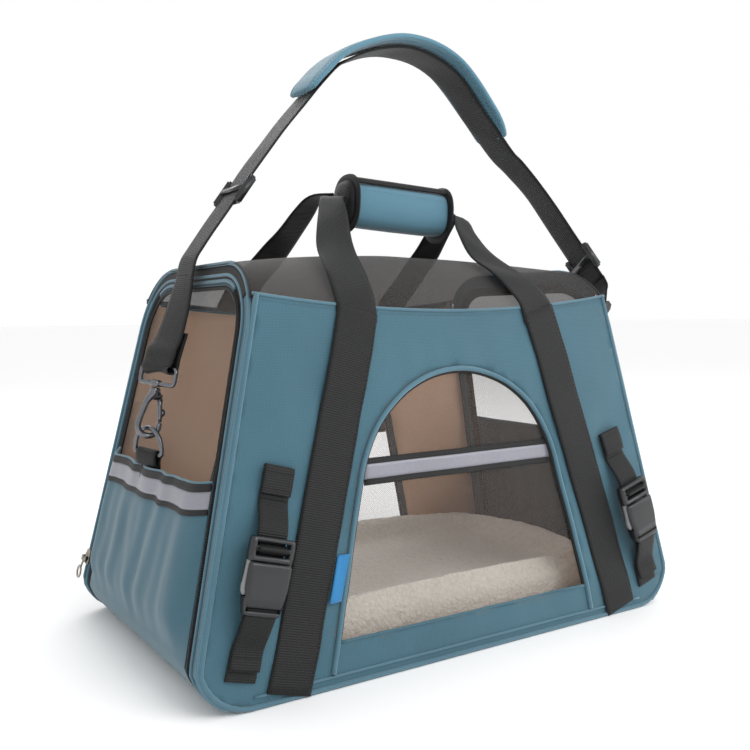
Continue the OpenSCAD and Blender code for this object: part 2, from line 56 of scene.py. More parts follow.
# The bag's driving sizes, in millimetres and degrees, the same as the frame's
bag = dict(length=483, width=280, archTop=308, crownTop=320, lean=12.9, sideRun=0.1, cornerRadius=40,
           archRadius=58, seamX=176, seamEndZ=284, seamMidZ=271, hingeAngle=45)
lean = math.radians(bag["lean"])
sideScale = math.hypot(1, bag["sideRun"])
cornerX = bag["length"] / 2 - math.tan(lean) * bag["cornerRadius"] - bag["cornerRadius"] / math.cos(lean)
cornerTurn = math.pi / 2 - lean
cornerLength = bag["cornerRadius"] * cornerTurn
cornerTopZ = bag["cornerRadius"] * (1 - math.cos(cornerTurn))
archZ = bag["archTop"] - bag["archRadius"]
archY = bag["width"] / 2 - bag["sideRun"] * archZ - bag["archRadius"] * sideScale
hingeT = cornerX + bag["cornerRadius"] * math.radians(bag["hingeAngle"])
rise = bag["seamEndZ"] - bag["seamMidZ"]
seamRadius = (bag["seamX"] ** 2 + rise ** 2) / (2 * rise)


# ---------------- where things lie on the bag ----------------

def clamped(value):
    return min(1, max(0, value))


def seamZ(x):
    return bag["seamMidZ"] + seamRadius - math.sqrt(seamRadius ** 2 - x * x)


def endX(z, inset=0):
    return bag["length"] / 2 - math.tan(lean) * z - inset / math.cos(lean)


def legY(z, inset=0):
    return bag["width"] / 2 - bag["sideRun"] * z - inset * sideScale


def panelSwell(x, z, side):  # how far the soft panel stands proud of the flat one, with its soft folds
    edge = clamped((endX(z) - abs(x)) / 40) * clamped(z / 30) * clamped((seamZ(x) - z) / 40)
    fold = noise.noise(Vector((x / 46 + 7 * side, z / 85, 1.7))) * 1.7
    fold += noise.noise(Vector((x / 17 + z / 60, z / 34, 5.1 + side))) * 0.7
    ends = max(0, abs(x) - 105) / 100
    fold += 1.6 * ends * math.sin((z - 0.55 * abs(x)) / 15) * max(0, math.sin(z / 90))
    return edge * (1.6 + fold)


def panelPoint(x, z, out, side):  # side is -1 for the front and 1 for the back
    normal = Vector((0, side, bag["sideRun"])) / sideScale
    return Vector((x, side * legY(z), z)) + normal * (out + panelSwell(x, z, side))


def endPoint(t, y, out, hand):  # t runs from the middle of the floor, round the corner and up the end
    r = bag["cornerRadius"]
    a = min(max(t - cornerX, 0), cornerLength) / r
    x = min(t, cornerX) + r * math.sin(a) - max(0, t - cornerX - cornerLength) * math.sin(lean)
    z = r * (1 - math.cos(a)) + max(0, t - cornerX - cornerLength) * math.cos(lean)
    return Vector((hand * (x + out * math.sin(a)), y, z - out * math.cos(a)))


def heightAt(t):
    return endPoint(t, 0, 0, 1).z


def pathAt(z):  # the t of a height on the end
    if z >= cornerTopZ:
        return cornerX + cornerLength + (z - cornerTopZ) / math.cos(lean)
    return cornerX + bag["cornerRadius"] * math.acos(1 - z / bag["cornerRadius"])


def archLine(inset, tFrom=hingeT, legs=36, turns=16, across=18):
    # (t, y) up the front leg, over the arch and down the back leg; every inset has as many points
    r = bag["archRadius"] - inset
    tilt = math.atan(bag["sideRun"])
    tTo = pathAt(archZ + r * math.sin(tilt))
    line = []
    for i in range(legs):
        t = tFrom + (tTo - tFrom) * i / legs
        line.append((t, legY(heightAt(t), inset)))
    for i in range(turns + 1):
        a = tilt + (math.pi / 2 - tilt) * i / turns
        line.append((pathAt(archZ + r * math.sin(a)), archY + r * math.cos(a)))
    top = [(line[-1][0], -archY + 2 * archY * i / across) for i in range(1, across)]
    return [(t, -y) for t, y in line] + top + [(t, y) for t, y in reversed(line)]


windowShape = dict(radius=101.5, centreZ=124, slope=13.3, hem=32)


def windowLine(inset, low, step=6):  # up the left leg, over the top, down the right one
    r = windowShape["radius"] - inset
    slope = math.radians(windowShape["slope"])
    zc = windowShape["centreZ"]
    foot = Vector(((r - (low - zc) * math.sin(slope)) / math.cos(slope), low))
    start = Vector((r * math.cos(slope), zc + r * math.sin(slope)))
    count = int((start - foot).length / step)
    line = [foot.lerp(start, i / count) for i in range(count)]
    turns = int(r * 1.4 / step)
    for i in range(turns + 1):
        a = slope + (math.pi / 2 - slope) * i / turns
        line.append(Vector((r * math.cos(a), zc + r * math.sin(a))))
    return [Vector((-p.x, p.y)) for p in line] + list(reversed(line[:-1]))


# ---------------- materials ----------------

def linear(hexText):
    values = [int(hexText[i:i + 2], 16) / 255 for i in (0, 2, 4)]
    return tuple(v / 12.92 if v <= 0.04045 else ((v + 0.055) / 1.055) ** 2.4 for v in values) + (1,)


def newMaterial(name):
    material = bpy.data.materials.new(name)
    material.use_nodes = True
    tree = material.node_tree
    return material, tree, tree.nodes["Principled BSDF"]


def addNode(tree, kind, settings=None, inputs=None):
    node = tree.nodes.new(kind)
    for key, value in (settings or {}).items():
        setattr(node, key, value)
    for key, value in (inputs or {}).items():
        socket = node.inputs[key]
        if isinstance(value, bpy.types.NodeSocket):
            tree.links.new(value, socket)
        else:
            socket.default_value = value
    return node


def mathNode(tree, operation, a, b=0.0, c=0.0, clamp=False):
    settings = dict(operation=operation, use_clamp=clamp)
    return addNode(tree, "ShaderNodeMath", settings, {0: a, 1: b, 2: c}).outputs[0]


def clothSpace(tree):  # each sheet and strap carries its own flat coordinates, in millimetres
    vector = addNode(tree, "ShaderNodeAttribute", dict(attribute_name="cloth")).outputs["Vector"]
    return addNode(tree, "ShaderNodeSeparateXYZ", inputs={0: vector}).outputs


def objectSpace(tree):
    return addNode(tree, "ShaderNodeTexCoord").outputs["Object"]


def noiseTexture(tree, scale, detail):
    inputs = {"Vector": objectSpace(tree), "Scale": scale, "Detail": detail}
    return addNode(tree, "ShaderNodeTexNoise", inputs=inputs).outputs[0]


def threads(tree, coordinate, pitch):  # a rounded thread every pitch millimetres, 0 in the gap and 1 on top
    angle = mathNode(tree, "MULTIPLY", coordinate, math.pi / pitch)
    return mathNode(tree, "ABSOLUTE", mathNode(tree, "SINE", angle))


def setShader(shader, **values):
    for key, value in values.items():
        shader.inputs[key.replace("_", " ")].default_value = value


def finishMaterial(tree, shader, colours, shade, height, depth, roughness, spread):
    # two shades of the colour follow the pattern and a soft cloud of dye variation
    cloud = mathNode(tree, "MULTIPLY", noiseTexture(tree, 9, 3), 0.6)
    mixed = mathNode(tree, "ADD", mathNode(tree, "MULTIPLY", shade, 0.45), cloud, clamp=True)
    ramp = addNode(tree, "ShaderNodeMix", dict(data_type="RGBA"),
                   {"Factor": mixed, 6: linear(colours[0]), 7: linear(colours[1])})
    tree.links.new(ramp.outputs[2], shader.inputs["Base Color"])
    rough = mathNode(tree, "MULTIPLY_ADD", mixed, spread, roughness - spread / 2)
    tree.links.new(rough, shader.inputs["Roughness"])
    bump = addNode(tree, "ShaderNodeBump", inputs={"Height": height, "Distance": depth * mm, "Strength": 1.0})
    tree.links.new(bump.outputs[0], shader.inputs["Normal"])


# Oxford polyester, plain woven: matt teal, a fine basket of threads, a soft sheen at grazing angles
def oxfordCloth(name, colours, sheen=0.25):
    material, tree, shader = newMaterial(name)
    u, v, _ = clothSpace(tree)
    # the real threads are 0.5 mm apart; 1.1 mm is the finest that shows
    warp, weft = threads(tree, u, 1.1), threads(tree, v, 1.1)
    weave = mathNode(tree, "MULTIPLY", warp, weft)
    height = mathNode(tree, "MULTIPLY_ADD", noiseTexture(tree, 900, 2), 0.5, weave)
    setShader(shader, Sheen_Weight=sheen, Sheen_Roughness=0.5, Specular_IOR_Level=0.3)
    finishMaterial(tree, shader, colours, height, height, 0.1, 0.72, 0.16)
    return material


# Polypropylene webbing, woven in ribs: near-black, with ribs across it and a tight plain edge
def ribbedWebbing(name, colours, pitch=1.7):
    material, tree, shader = newMaterial(name)
    u, v, _ = clothSpace(tree)
    ribs = threads(tree, v, pitch)
    # neighbouring columns of the weave are half a rib out of step
    columns = threads(tree, u, 2.4)
    raised = mathNode(tree, "MULTIPLY_ADD", columns, 0.45, 0.55)
    knots = mathNode(tree, "MULTIPLY", ribs, raised)
    height = mathNode(tree, "MULTIPLY_ADD", noiseTexture(tree, 1400, 2), 0.35, knots)
    setShader(shader, Sheen_Weight=0.03, Sheen_Roughness=0.4, Specular_IOR_Level=0.3)
    finishMaterial(tree, shader, colours, knots, height, 0.35, 0.55, 0.2)
    return material


# Polyester net, warp-knitted: dark threads with open cells, so what is behind shows through
def knittedNet(name, colours, cover):
    material, tree, shader = newMaterial(name)
    u, v, _ = clothSpace(tree)
    # the real cells are 0.8 mm; 1.6 mm is the finest that shows
    slope = mathNode(tree, "ADD", u, v)
    fall = mathNode(tree, "SUBTRACT", u, v)
    cells = mathNode(tree, "MULTIPLY", threads(tree, slope, 1.6), threads(tree, fall, 1.6))
    alpha = mathNode(tree, "MULTIPLY_ADD", cells, -0.34, cover + 0.14)
    tree.links.new(alpha, shader.inputs["Alpha"])
    setShader(shader, Sheen_Weight=0.1, Specular_IOR_Level=0.25)
    finishMaterial(tree, shader, colours, cells, cells, 0.12, 0.7, 0.1)
    return material


# Reflective tape, coated with glass beads: silver grey with a fine honeycomb and a broad soft gloss
def beadedTape(name):
    material, tree, shader = newMaterial(name)
    cells = addNode(tree, "ShaderNodeTexVoronoi", dict(feature="DISTANCE_TO_EDGE"),
                    {"Vector": objectSpace(tree), "Scale": 700})
    height = mathNode(tree, "MULTIPLY", cells.outputs[0], 2.0, clamp=True)
    setShader(shader, Metallic=0.25, Coat_Weight=0.15, Coat_Roughness=0.4)
    finishMaterial(tree, shader, ("74747e", "92929a"), height, height, 0.05, 0.42, 0.12)
    return material


# Acetal, moulded: near-black with a satin skin and a faint orange peel
def mouldedAcetal(name, colours):
    material, tree, shader = newMaterial(name)
    peel = noiseTexture(tree, 420, 3)
    setShader(shader, Specular_IOR_Level=0.5)
    finishMaterial(tree, shader, colours, peel, peel, 0.05, 0.3, 0.14)
    return material


# Zinc alloy, die cast and plated in black nickel: dark mirror-like metal with worn brighter patches
def blackNickel(name, colours=("4a4b4f", "83858a")):
    material, tree, shader = newMaterial(name)
    wear = noiseTexture(tree, 160, 5)
    setShader(shader, Metallic=1.0)
    finishMaterial(tree, shader, colours, wear, wear, 0.04, 0.26, 0.16)
    return material


# Sherpa fleece, knitted and raised: cream with small curls and deep soft shadow between them
def sherpaFleece(name):
    material, tree, shader = newMaterial(name)
    inputs = {"Vector": objectSpace(tree), "Scale": 260}
    curls = addNode(tree, "ShaderNodeTexVoronoi", inputs=inputs).outputs[0]
    height = mathNode(tree, "MULTIPLY_ADD", curls, -0.8, noiseTexture(tree, 520, 4))
    setShader(shader, Sheen_Weight=0.5, Sheen_Roughness=0.6, Specular_IOR_Level=0.2)
    shade = mathNode(tree, "ADD", height, 0.4)
    finishMaterial(tree, shader, ("c9c1b4", "f4efe6"), shade, height, 1.1, 0.9, 0.1)
    return material


# Fibreboard, pressed: plain grey-brown sheet with short fibres
def pressedBoard(name):
    material, tree, shader = newMaterial(name)
    fibres = noiseTexture(tree, 380, 6)
    finishMaterial(tree, shader, ("716c64", "98928a"), fibres, fibres, 0.15, 0.8, 0.1)
    return material


print("materials")
teal = oxfordCloth("oxfordPolyester", ("264453", "416977"))
tealPiping = oxfordCloth("oxfordPiping", ("2d4f5f", "527887"), 0.3)
tealPad = oxfordCloth("oxfordPadCloth", ("365f72", "5c8899"), 0.3)
lining = oxfordCloth("coatedLining", ("cb9c80", "f4d3b8"), 0.1)
labelCloth = oxfordCloth("wovenLabel", ("10548a", "2f80b4"), 0.2)
webbing = ribbedWebbing("polypropyleneWebbing", ("070708", "151617"))
binding = ribbedWebbing("grosgrainBinding", ("0d0d0e", "201f21"), 1.2)
coil = ribbedWebbing("nylonZipTape", ("09090a", "1a1a1c"), 1.0)
net = knittedNet("polyesterNet", ("3a3532", "5f5853"), 0.34)
crownNet = knittedNet("polyesterCrownNet", ("1e1c1b", "35302e"), 0.78)
windowNet = knittedNet("polyesterWindowNet", ("4e4744", "756a64"), 0.3)
silver = beadedTape("reflectiveTape")
acetal = mouldedAcetal("mouldedAcetal", ("17181a", "242527"))
# the same black acetal drawn light grey: a painted highlight, used on the buckle prongs and the adjusters'
# outer bars
highlightPaintedAcetal = mouldedAcetal("acetalPaintedHighlight", ("5b5c5d", "8c8d8e"))
gunmetal = blackNickel("blackNickelZinc")
zipMetal = blackNickel("nickelZipSlider", ("6d675e", "b5aea2"))
fleece = sherpaFleece("sherpaFleece")
board = pressedBoard("pressedFibreboard")
thread = ribbedWebbing("polyesterThread", ("0e0e10", "2b2b2e"), 0.9)
tealThread = oxfordCloth("tealThread", ("274857", "41707f"), 0.2)


# ---------------- mesh tools ----------------

def makePiece(name, points, faces, material, flat=None, smooth=True):
    mesh = bpy.data.meshes.new(name)
    mesh.from_pydata([tuple(p * mm) for p in points], [], faces)
    mesh.validate()
    if flat:
        attribute = mesh.attributes.new("cloth", "FLOAT_VECTOR", "POINT")
        attribute.data.foreach_set("vector", [c for f in flat for c in (f[0], f[1], 0.0)])
    for polygon in mesh.polygons:
        polygon.use_smooth = smooth
    mesh.materials.append(material)
    piece = bpy.data.objects.new(name, mesh)
    bpy.context.scene.collection.objects.link(piece)
    return piece


def place(piece, body, slot, *replaced):
    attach(piece, body)
    if replaced:
        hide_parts(*replaced)
    return piece


def faceOutward(piece):
    work = bmesh.new()
    work.from_mesh(piece.data)
    bmesh.ops.recalc_face_normals(work, faces=work.faces)
    work.to_mesh(piece.data)
    work.free()
    return piece


def thicken(piece, thickness, offset=-1.0):
    solid = piece.modifiers.new("thickness", "SOLIDIFY")
    solid.thickness = thickness * mm
    solid.offset = offset
    bakeModifiers(piece)
    return piece


def bakeModifiers(piece):
    bpy.context.view_layer.update()
    evaluated = piece.evaluated_get(bpy.context.evaluated_depsgraph_get())
    mesh = bpy.data.meshes.new_from_object(evaluated)
    piece.modifiers.clear()
    piece.data = mesh


def smoothSubdivide(piece, levels=1):
    surface = piece.modifiers.new("smooth", "SUBSURF")
    surface.levels = levels
    bakeModifiers(piece)
    return piece


def joinPieces(first, *others):
    bpy.ops.object.select_all(action="DESELECT")
    for piece in (first,) + others:
        piece.select_set(True)
    bpy.context.view_layer.objects.active = first
    bpy.ops.object.join()
    return first


def inside(point, loop):
    odd = False
    for i, a in enumerate(loop):
        b = loop[i - 1]
        if (a[1] > point[1]) != (b[1] > point[1]):
            if point[0] < (b[0] - a[0]) * (point[1] - a[1]) / (b[1] - a[1]) + a[0]:
                odd = not odd
    return odd


def cutSheet(name, outline, holes, step, where, material):
    # cuts the outline from flat cloth on a grid of points, then lays it where the function says
    loops = [outline] + holes
    points, edges = [], []
    for loop in loops:
        first = len(points)
        points += [Vector((p[0], p[1])) for p in loop]
        edges += [(first + i, first + (i + 1) % len(loop)) for i in range(len(loop))]
    rims = list(points)
    low = [min(p[k] for p in outline) for k in (0, 1)]
    high = [max(p[k] for p in outline) for k in (0, 1)]
    for i in range(int((high[0] - low[0]) / step)):
        for j in range(int((high[1] - low[1]) / step)):
            p = Vector((low[0] + (i + 0.5 + 0.25 * (j % 2)) * step, low[1] + (j + 0.5) * step))
            if inside(p, outline) and not any(inside(p, h) for h in holes):
                points.append(p)
    near = 0.45 * step
    kept = rims + [p for p in points[len(rims):] if clearOf(p, rims, near)]
    result = delaunay_2d_cdt(kept, edges, [], 0, 0.01)
    flat, faces = result[0], result[2]
    good = []
    for face in faces:
        centre = sum((flat[i] for i in face), Vector((0, 0))) / len(face)
        if inside(centre, outline) and not any(inside(centre, h) for h in holes):
            good.append(tuple(face))
    return makePiece(name, [where(p.x, p.y) for p in flat], good, material, [(p.x, p.y) for p in flat])


def clearOf(point, rims, near):
    return all(abs(point.x - q.x) > near or abs(point.y - q.y) > near for q in rims)


def smoothLine(points, steps):  # a smooth curve through the points, with so many steps between two of them
    points = [Vector(p) for p in points]
    line = []
    for i in range(len(points) - 1):
        a, b = points[max(i - 1, 0)], points[i]
        c, d = points[i + 1], points[min(i + 2, len(points) - 1)]
        for k in range(steps):
            u = k / steps
            line.append((2 * b + (c - a) * u + (2 * a - 5 * b + 4 * c - d) * u * u
                         + (3 * b - a - 3 * c + d) * u ** 3) / 2)
    return line + [points[-1]]


def headings(line, closed=False):
    count = len(line)
    result = []
    for i in range(count):
        before = line[i - 1] if closed or i else line[0]
        after = line[(i + 1) % count] if closed or i < count - 1 else line[-1]
        result.append((after - before).normalized())
    return result


def tube(name, line, radius, material, closed=False, sides=10, flatten=1.0, upright=None):
    # a round or flattened cord along a line; radius may be one number or one for each point
    count = len(line)
    radii = radius if isinstance(radius, list) else [radius] * count
    ways = headings(line, closed)
    normal = upright or ways[0].orthogonal()
    points, faces, flat = [], [], []
    travelled = 0
    for i, (p, way) in enumerate(zip(line, ways)):
        normal = (normal - way * normal.dot(way)).normalized()
        side = way.cross(normal)
        travelled += (line[i] - line[i - 1]).length if i else 0
        for k in range(sides):
            a = 2 * math.pi * k / sides
            points.append(p + (normal * math.cos(a) * flatten + side * math.sin(a)) * radii[i])
            flat.append((radii[i] * a, travelled))
    rings = count if closed else count - 1
    for i in range(rings):
        for k in range(sides):
            a, b = i * sides + k, i * sides + (k + 1) % sides
            c, d = ((i + 1) % count) * sides + (k + 1) % sides, ((i + 1) % count) * sides + k
            faces.append((a, b, c, d))
    if not closed:
        faces.append(tuple(reversed(range(sides))))
        faces.append(tuple(range((count - 1) * sides, count * sides)))
    return faceOutward(makePiece(name, points, faces, material, flat))


def strap(name, line, widths, ways, thickness, material, columns=10, ripple=0.0):
    # flat webbing: line down its middle, ways the direction of its width, one for all or one for each point
    count = len(line)
    widths = widths if isinstance(widths, list) else [widths] * count
    ways = ways if isinstance(ways, list) else [ways] * count
    along = headings(line)
    points, faces, flat = [], [], []
    travelled = 0
    ring = 2 * columns
    for i, (p, tangent) in enumerate(zip(line, along)):
        across = (ways[i] - tangent * ways[i].dot(tangent)).normalized()
        up = tangent.cross(across)
        travelled += (line[i] - line[i - 1]).length if i else 0
        for k in range(ring):
            top = k < columns
            u = -1 + 2 * ((k if top else ring - 1 - k) + 0.5) / columns
            crown = thickness / 2 * (1 - 0.45 * abs(u) ** 6)
            wave = ripple * math.sin(travelled / 9 + 2.5 * u) * math.sin(math.pi * i / (count - 1))
            points.append(p + across * (u * widths[i] / 2) + up * ((crown if top else -crown) + wave))
            flat.append((u * widths[i] / 2, travelled))
    for i in range(count - 1):
        for k in range(ring):
            a, b = i * ring + k, i * ring + (k + 1) % ring
            faces.append((a, b, b + ring, a + ring))
    for end in (0, (count - 1) * ring):
        for k in range(columns - 1):
            faces.append((end + k, end + k + 1, end + ring - 2 - k, end + ring - 1 - k))
    return faceOutward(makePiece(name, points, faces, material, flat))


def stitches(name, lines, normals, material, pitch=3.4, long=2.4, wide=0.55):
    # rows of sewn stitches, each a small flat spindle that dips at its ends; normals say which way is up
    if isinstance(normals, Vector):
        normals = [[normals] * len(line) for line in lines]
    points, faces, flat = [], [], []
    for line, normal in zip(lines, normals):
        carried = pitch / 2
        for i in range(len(line) - 1):
            a, b = line[i], line[i + 1]
            gap = (b - a).length
            if gap < 1e-6:
                continue
            way = (b - a) / gap
            up = (normal[i] - way * normal[i].dot(way)).normalized()
            side = way.cross(up)
            while carried < gap:
                c = a + way * carried
                n = len(points)
                points += [c - way * long / 2, c + way * long / 2, c + side * wide / 2, c - side * wide / 2,
                           c + up * wide * 0.6, c - up * wide * 0.3]
                flat += [(0, 0)] * 6
                for tip in (0, 1):
                    for p, q in ((2, 4), (4, 3), (3, 5), (5, 2)):
                        faces.append((n + tip, n + p, n + q))
                carried += pitch
            carried -= gap
    return faceOutward(makePiece(name, points, faces, material, flat, smooth=False))


def solidFrom(name, sections, material):
    # lofts equal rings of points into one closed solid
    points = [p for s in sections for p in s]
    n = len(sections[0])
    faces = [(i * n + k, i * n + (k + 1) % n, (i + 1) * n + (k + 1) % n, (i + 1) * n + k)
             for i in range(len(sections) - 1) for k in range(n)]
    faces.append(tuple(reversed(range(n))))
    faces.append(tuple(range(len(points) - n, len(points))))
    return faceOutward(makePiece(name, points, faces, material, [(p.x + p.y, p.z) for p in points]))


def roundedBox(name, size, radius, material, matrix=None, segments=3):
    work = bmesh.new()
    bmesh.ops.create_cube(work, size=1)
    bmesh.ops.scale(work, vec=Vector(size), verts=work.verts)
    bmesh.ops.bevel(work, geom=work.edges[:], offset=radius, segments=segments, affect="EDGES")
    if matrix:
        bmesh.ops.transform(work, matrix=matrix, verts=work.verts)
    points = [v.co.copy() for v in work.verts]
    work.verts.index_update()
    faces = [tuple(v.index for v in f.verts) for f in work.faces]
    work.free()
    return faceOutward(makePiece(name, points, faces, material, [(p.x + p.y, p.z) for p in points]))


def turned(matrix, way):  # a direction carried by a frame
    return matrix.to_3x3() @ Vector(way)


def moved(points, matrix):
    return [matrix @ Vector(p) for p in points]


def turnTo(piece, outward):  # turns a sheet's faces so that they look outward
    total = sum((p.normal * p.area for p in piece.data.polygons), Vector())
    if total.dot(Vector(outward)) < 0:
        piece.data.flip_normals()
    return piece


def laidSheet(name, count, columns, where, material):
    # where gives each grid point's place on the bag and on the flat cloth
    grid = [[where(i, k) for k in range(columns)] for i in range(count)]
    rows, flat = ([[pair[which] for pair in row] for row in grid] for which in (0, 1))
    return gridSheet(name, rows, material, flat)


def gridSheet(name, rows, material, flat):
    n = len(rows[0])
    faces = [(i * n + k, i * n + k + 1, (i + 1) * n + k + 1, (i + 1) * n + k)
             for i in range(len(rows) - 1) for k in range(n - 1)]
    return makePiece(name, [p for r in rows for p in r], faces, material, [f for r in flat for f in r])


def cutWith(piece, boxes):  # cuts plain boxes out of a solid; each is (size, centre)
    for size, centre in boxes:
        cutter = roundedBox("cutter", size, 0.4, piece.data.materials[0], Matrix.Translation(centre), 1)
        cut = piece.modifiers.new("cut", "BOOLEAN")
        cut.operation = "DIFFERENCE"
        cut.solver = "EXACT"
        cut.object = cutter
        bakeModifiers(piece)
        bpy.data.objects.remove(cutter)
    return piece


def inflate(piece, voxel, pressure, cap, rounds=20):
    # turns a closed form into a stuffed one: an even skin, blown up as cloth, then smoothed
    remesh = piece.modifiers.new("skin", "REMESH")
    remesh.mode = "VOXEL"
    remesh.voxel_size = voxel * mm
    bakeModifiers(piece)
    rest = [v.co.copy() for v in piece.data.vertices]
    cloth = piece.modifiers.new("cloth", "CLOTH")
    cloth.settings.use_pressure = True
    cloth.settings.uniform_pressure_force = pressure
    cloth.settings.effector_weights.gravity = 0
    cloth.settings.quality = 5
    for f in range(1, rounds + 1):
        bpy.context.scene.frame_set(f)
    bakeModifiers(piece)
    for vertex, before in zip(piece.data.vertices, rest):
        step = vertex.co - before
        if step.length > cap * mm:
            vertex.co = before + step * (cap * mm / step.length)
    bpy.context.scene.frame_set(1)
    for polygon in piece.data.polygons:
        polygon.use_smooth = True
    return smoothSubdivide(piece)


def readyMesh(piece, material):
    piece.data.materials.clear()
    piece.data.materials.append(material)
    return piece


sides = ((-1, "front"), (1, "back"))
hands = ((-1, "left"), (1, "right"))

# ---------------- panels, windows and linings ----------------

print("panels")
panelLook = dict(step=7, thickness=1.8, pipingRadius=1.9, hemInset=9, across=48, legSteps=62)
windowLook = dict(pipingRadius=2.0, rimRadius=1.3, hemRadius=1.2, hemHalf=124,
                  bandZ=151, bandTall=20, bandSteps=30)


def panelOutline(inset):
    top = pathAt(bag["seamEndZ"] - 1)
    count = int(top / panelLook["step"])
    half = []
    for i in range(count + 1):
        p = endPoint(top * i / count, 0, -inset, 1)
        half.append((p.x, p.z))
    across = panelLook["across"]
    xs = [bag["seamX"] * (1 - 2 * i / across) for i in range(across + 1)]
    seam = [(x, seamZ(x) - inset) for x in xs if abs(x) < half[-1][0] - 2]
    return half + seam + [(-x, z) for x, z in reversed(half[1:])]


for side, word in sides:
    outward = (0, side, 0)
    outline = panelOutline(0)
    hole = [tuple(p) for p in windowLine(1, windowShape["hem"])]
    panel = cutSheet(word + "Panel", outline, [hole], panelLook["step"],
                     lambda x, z: panelPoint(x, z, 0, side), teal)
    turnTo(panel, outward)
    place(thicken(panel, panelLook["thickness"]), "root", "canvas", word + "_panel")

    outline = panelOutline(5)
    hole = [tuple(p) for p in windowLine(-3, windowShape["hem"] - 3)]
    inner = cutSheet(word + "Lining", outline, [hole], 12, lambda x, z: panelPoint(x, z, -3.4, side), lining)
    turnTo(inner, outward)
    place(thicken(inner, 0.5), "root", "lining", word + "_lining")

    outline = [tuple(p) for p in windowLine(-5, windowShape["hem"] - 7)]
    window = cutSheet(word + "WindowNet", outline, [], 9,
                      lambda x, z: panelPoint(x, z, -2.4, side), windowNet)
    turnTo(window, outward)
    place(window, "root", "mesh", word + "_window_mesh")

    roll = [panelPoint(p.x, p.y, 1.0, side) for p in windowLine(1.5, 11, 5)]
    piping = tube(word + "WindowPiping", roll, windowLook["pipingRadius"], tealPiping, sides=8)
    place(piping, "root", "canvas")
    edge = [panelPoint(p.x, p.y, -0.7, side) for p in windowLine(3.9, windowShape["hem"], 5)]
    rim = tube(word + "WindowRim", edge, windowLook["rimRadius"], binding, sides=8)
    place(rim, "root", "binding", word + "_window_binding")
    hemXs = range(-windowLook["hemHalf"], windowLook["hemHalf"] + 1, 8)
    hemLine = [panelPoint(x, windowShape["hem"], -0.2, side) for x in hemXs]
    place(tube(word + "WindowHem", hemLine, windowLook["hemRadius"], teal, sides=8), "root", "canvas")

    # a reflective band across the window between two dark edges
    bandZ, bandFoot = windowLook["bandZ"], windowLook["bandZ"] - windowLook["bandTall"] / 2
    halfWide = [p.x for p in windowLine(3, windowShape["hem"], 4) if p.x > 0 and abs(p.y - bandZ) < 4][0]

    def onBand(i, k):
        x = -halfWide + 2 * halfWide * i / windowLook["bandSteps"]
        z = bandFoot + low + (high - low) * k / 4
        return panelPoint(x, z, out - 0.9 + 0.25 * math.sin(x / 19 + 1), side), (x, z)

    for part, low, high, cloth, out in (("Band", 4, 16, silver, -0.1), ("BandLowEdge", 0, 4.4, binding, 0.1),
                                        ("BandTopEdge", 15.6, 20, binding, 0.1)):
        band = laidSheet(word + "Window" + part, windowLook["bandSteps"] + 1, 5, onBand, cloth)
        place(thicken(turnTo(band, outward), 0.5), "root", "reflective", word + "_reflective_strip")

    # piping round the panel's edge, and the seam of the band along its foot
    top, steps = pathAt(bag["seamEndZ"] - 2), panelLook["legSteps"]
    legs = [[endPoint(t, side * (legY(heightAt(t)) + 0.2), -panelLook["pipingRadius"], hand)
             for t in (top * i / steps for i in range(steps + 1))] for hand, _ in hands]
    edge = legs[0][:0:-1] + legs[1]
    place(tube(word + "EdgePiping", edge, panelLook["pipingRadius"], tealPiping, sides=8), "root", "canvas")
    foot = [(p.x, p.z) for p in (endPoint(cornerX * i / 30, 0, -panelLook["hemInset"], 1) for i in range(31))]
    foot = [(-x, z) for x, z in reversed(foot)] + foot[1:]
    seam = [panelPoint(x, z, 0.4, side) for x, z in foot]
    place(tube(word + "FootSeam", seam, 1.1, tealPiping, sides=8), "root", "canvas")
    topLine = [panelPoint(x, seamZ(x) - 0.8, -0.2, side) for x in range(-174, 175, 6)]
    place(tube(word + "TopSeam", topLine, 1.3, tealPiping, sides=8), "root", "canvas")
    row = [panelPoint(x, seamZ(x) - 4.5, 0.15, side) for x in range(-168, 169, 4)]
    place(stitches(word + "TopStitches", [row], Vector(outward), tealThread), "root", "canvas")

# ---------------- base, hoops, crown and zips ----------------

print("base and crown")
reach = hingeT - 0.6


def onBase(i, k):
    t = -reach + 2 * reach * i / 100
    y = legY(heightAt(abs(t))) * (-1 + k / 9)
    return endPoint(abs(t), y, 0, -1 if t < 0 else 1), (t, y)


baseWrap = turnTo(laidSheet("baseWrap", 101, 19, onBase, teal), (0, 0, -1))
place(thicken(baseWrap, 2.2), "root", "canvas", "base_panel")


def archStrip(name, inset, out, material, hand, columns, crown=0.0, keepAbove=0):
    # a strip round the arch between two insets; keepAbove leaves only what is higher than that
    insets = [inset[0] + (inset[1] - inset[0]) * k / columns for k in range(columns + 1)]
    lines = [archLine(d) for d in insets]
    kept = [i for i, p in enumerate(lines[0]) if heightAt(p[0]) >= keepAbove]

    def onStrip(i, k):
        t, y = lines[k][kept[i]]
        return endPoint(t, y, out + crown * math.sin(math.pi * k / columns), hand), (insets[k], kept[i] * 6.0)

    return turnTo(laidSheet(name, len(kept), columns + 1, onStrip, material), (hand, 0, 0))


def archTube(name, inset, out, radius, material, hand, tFrom=hingeT):
    line = [endPoint(t, y, out, hand) for t, y in archLine(inset, tFrom)]
    return tube(name, line, radius, material, sides=8)


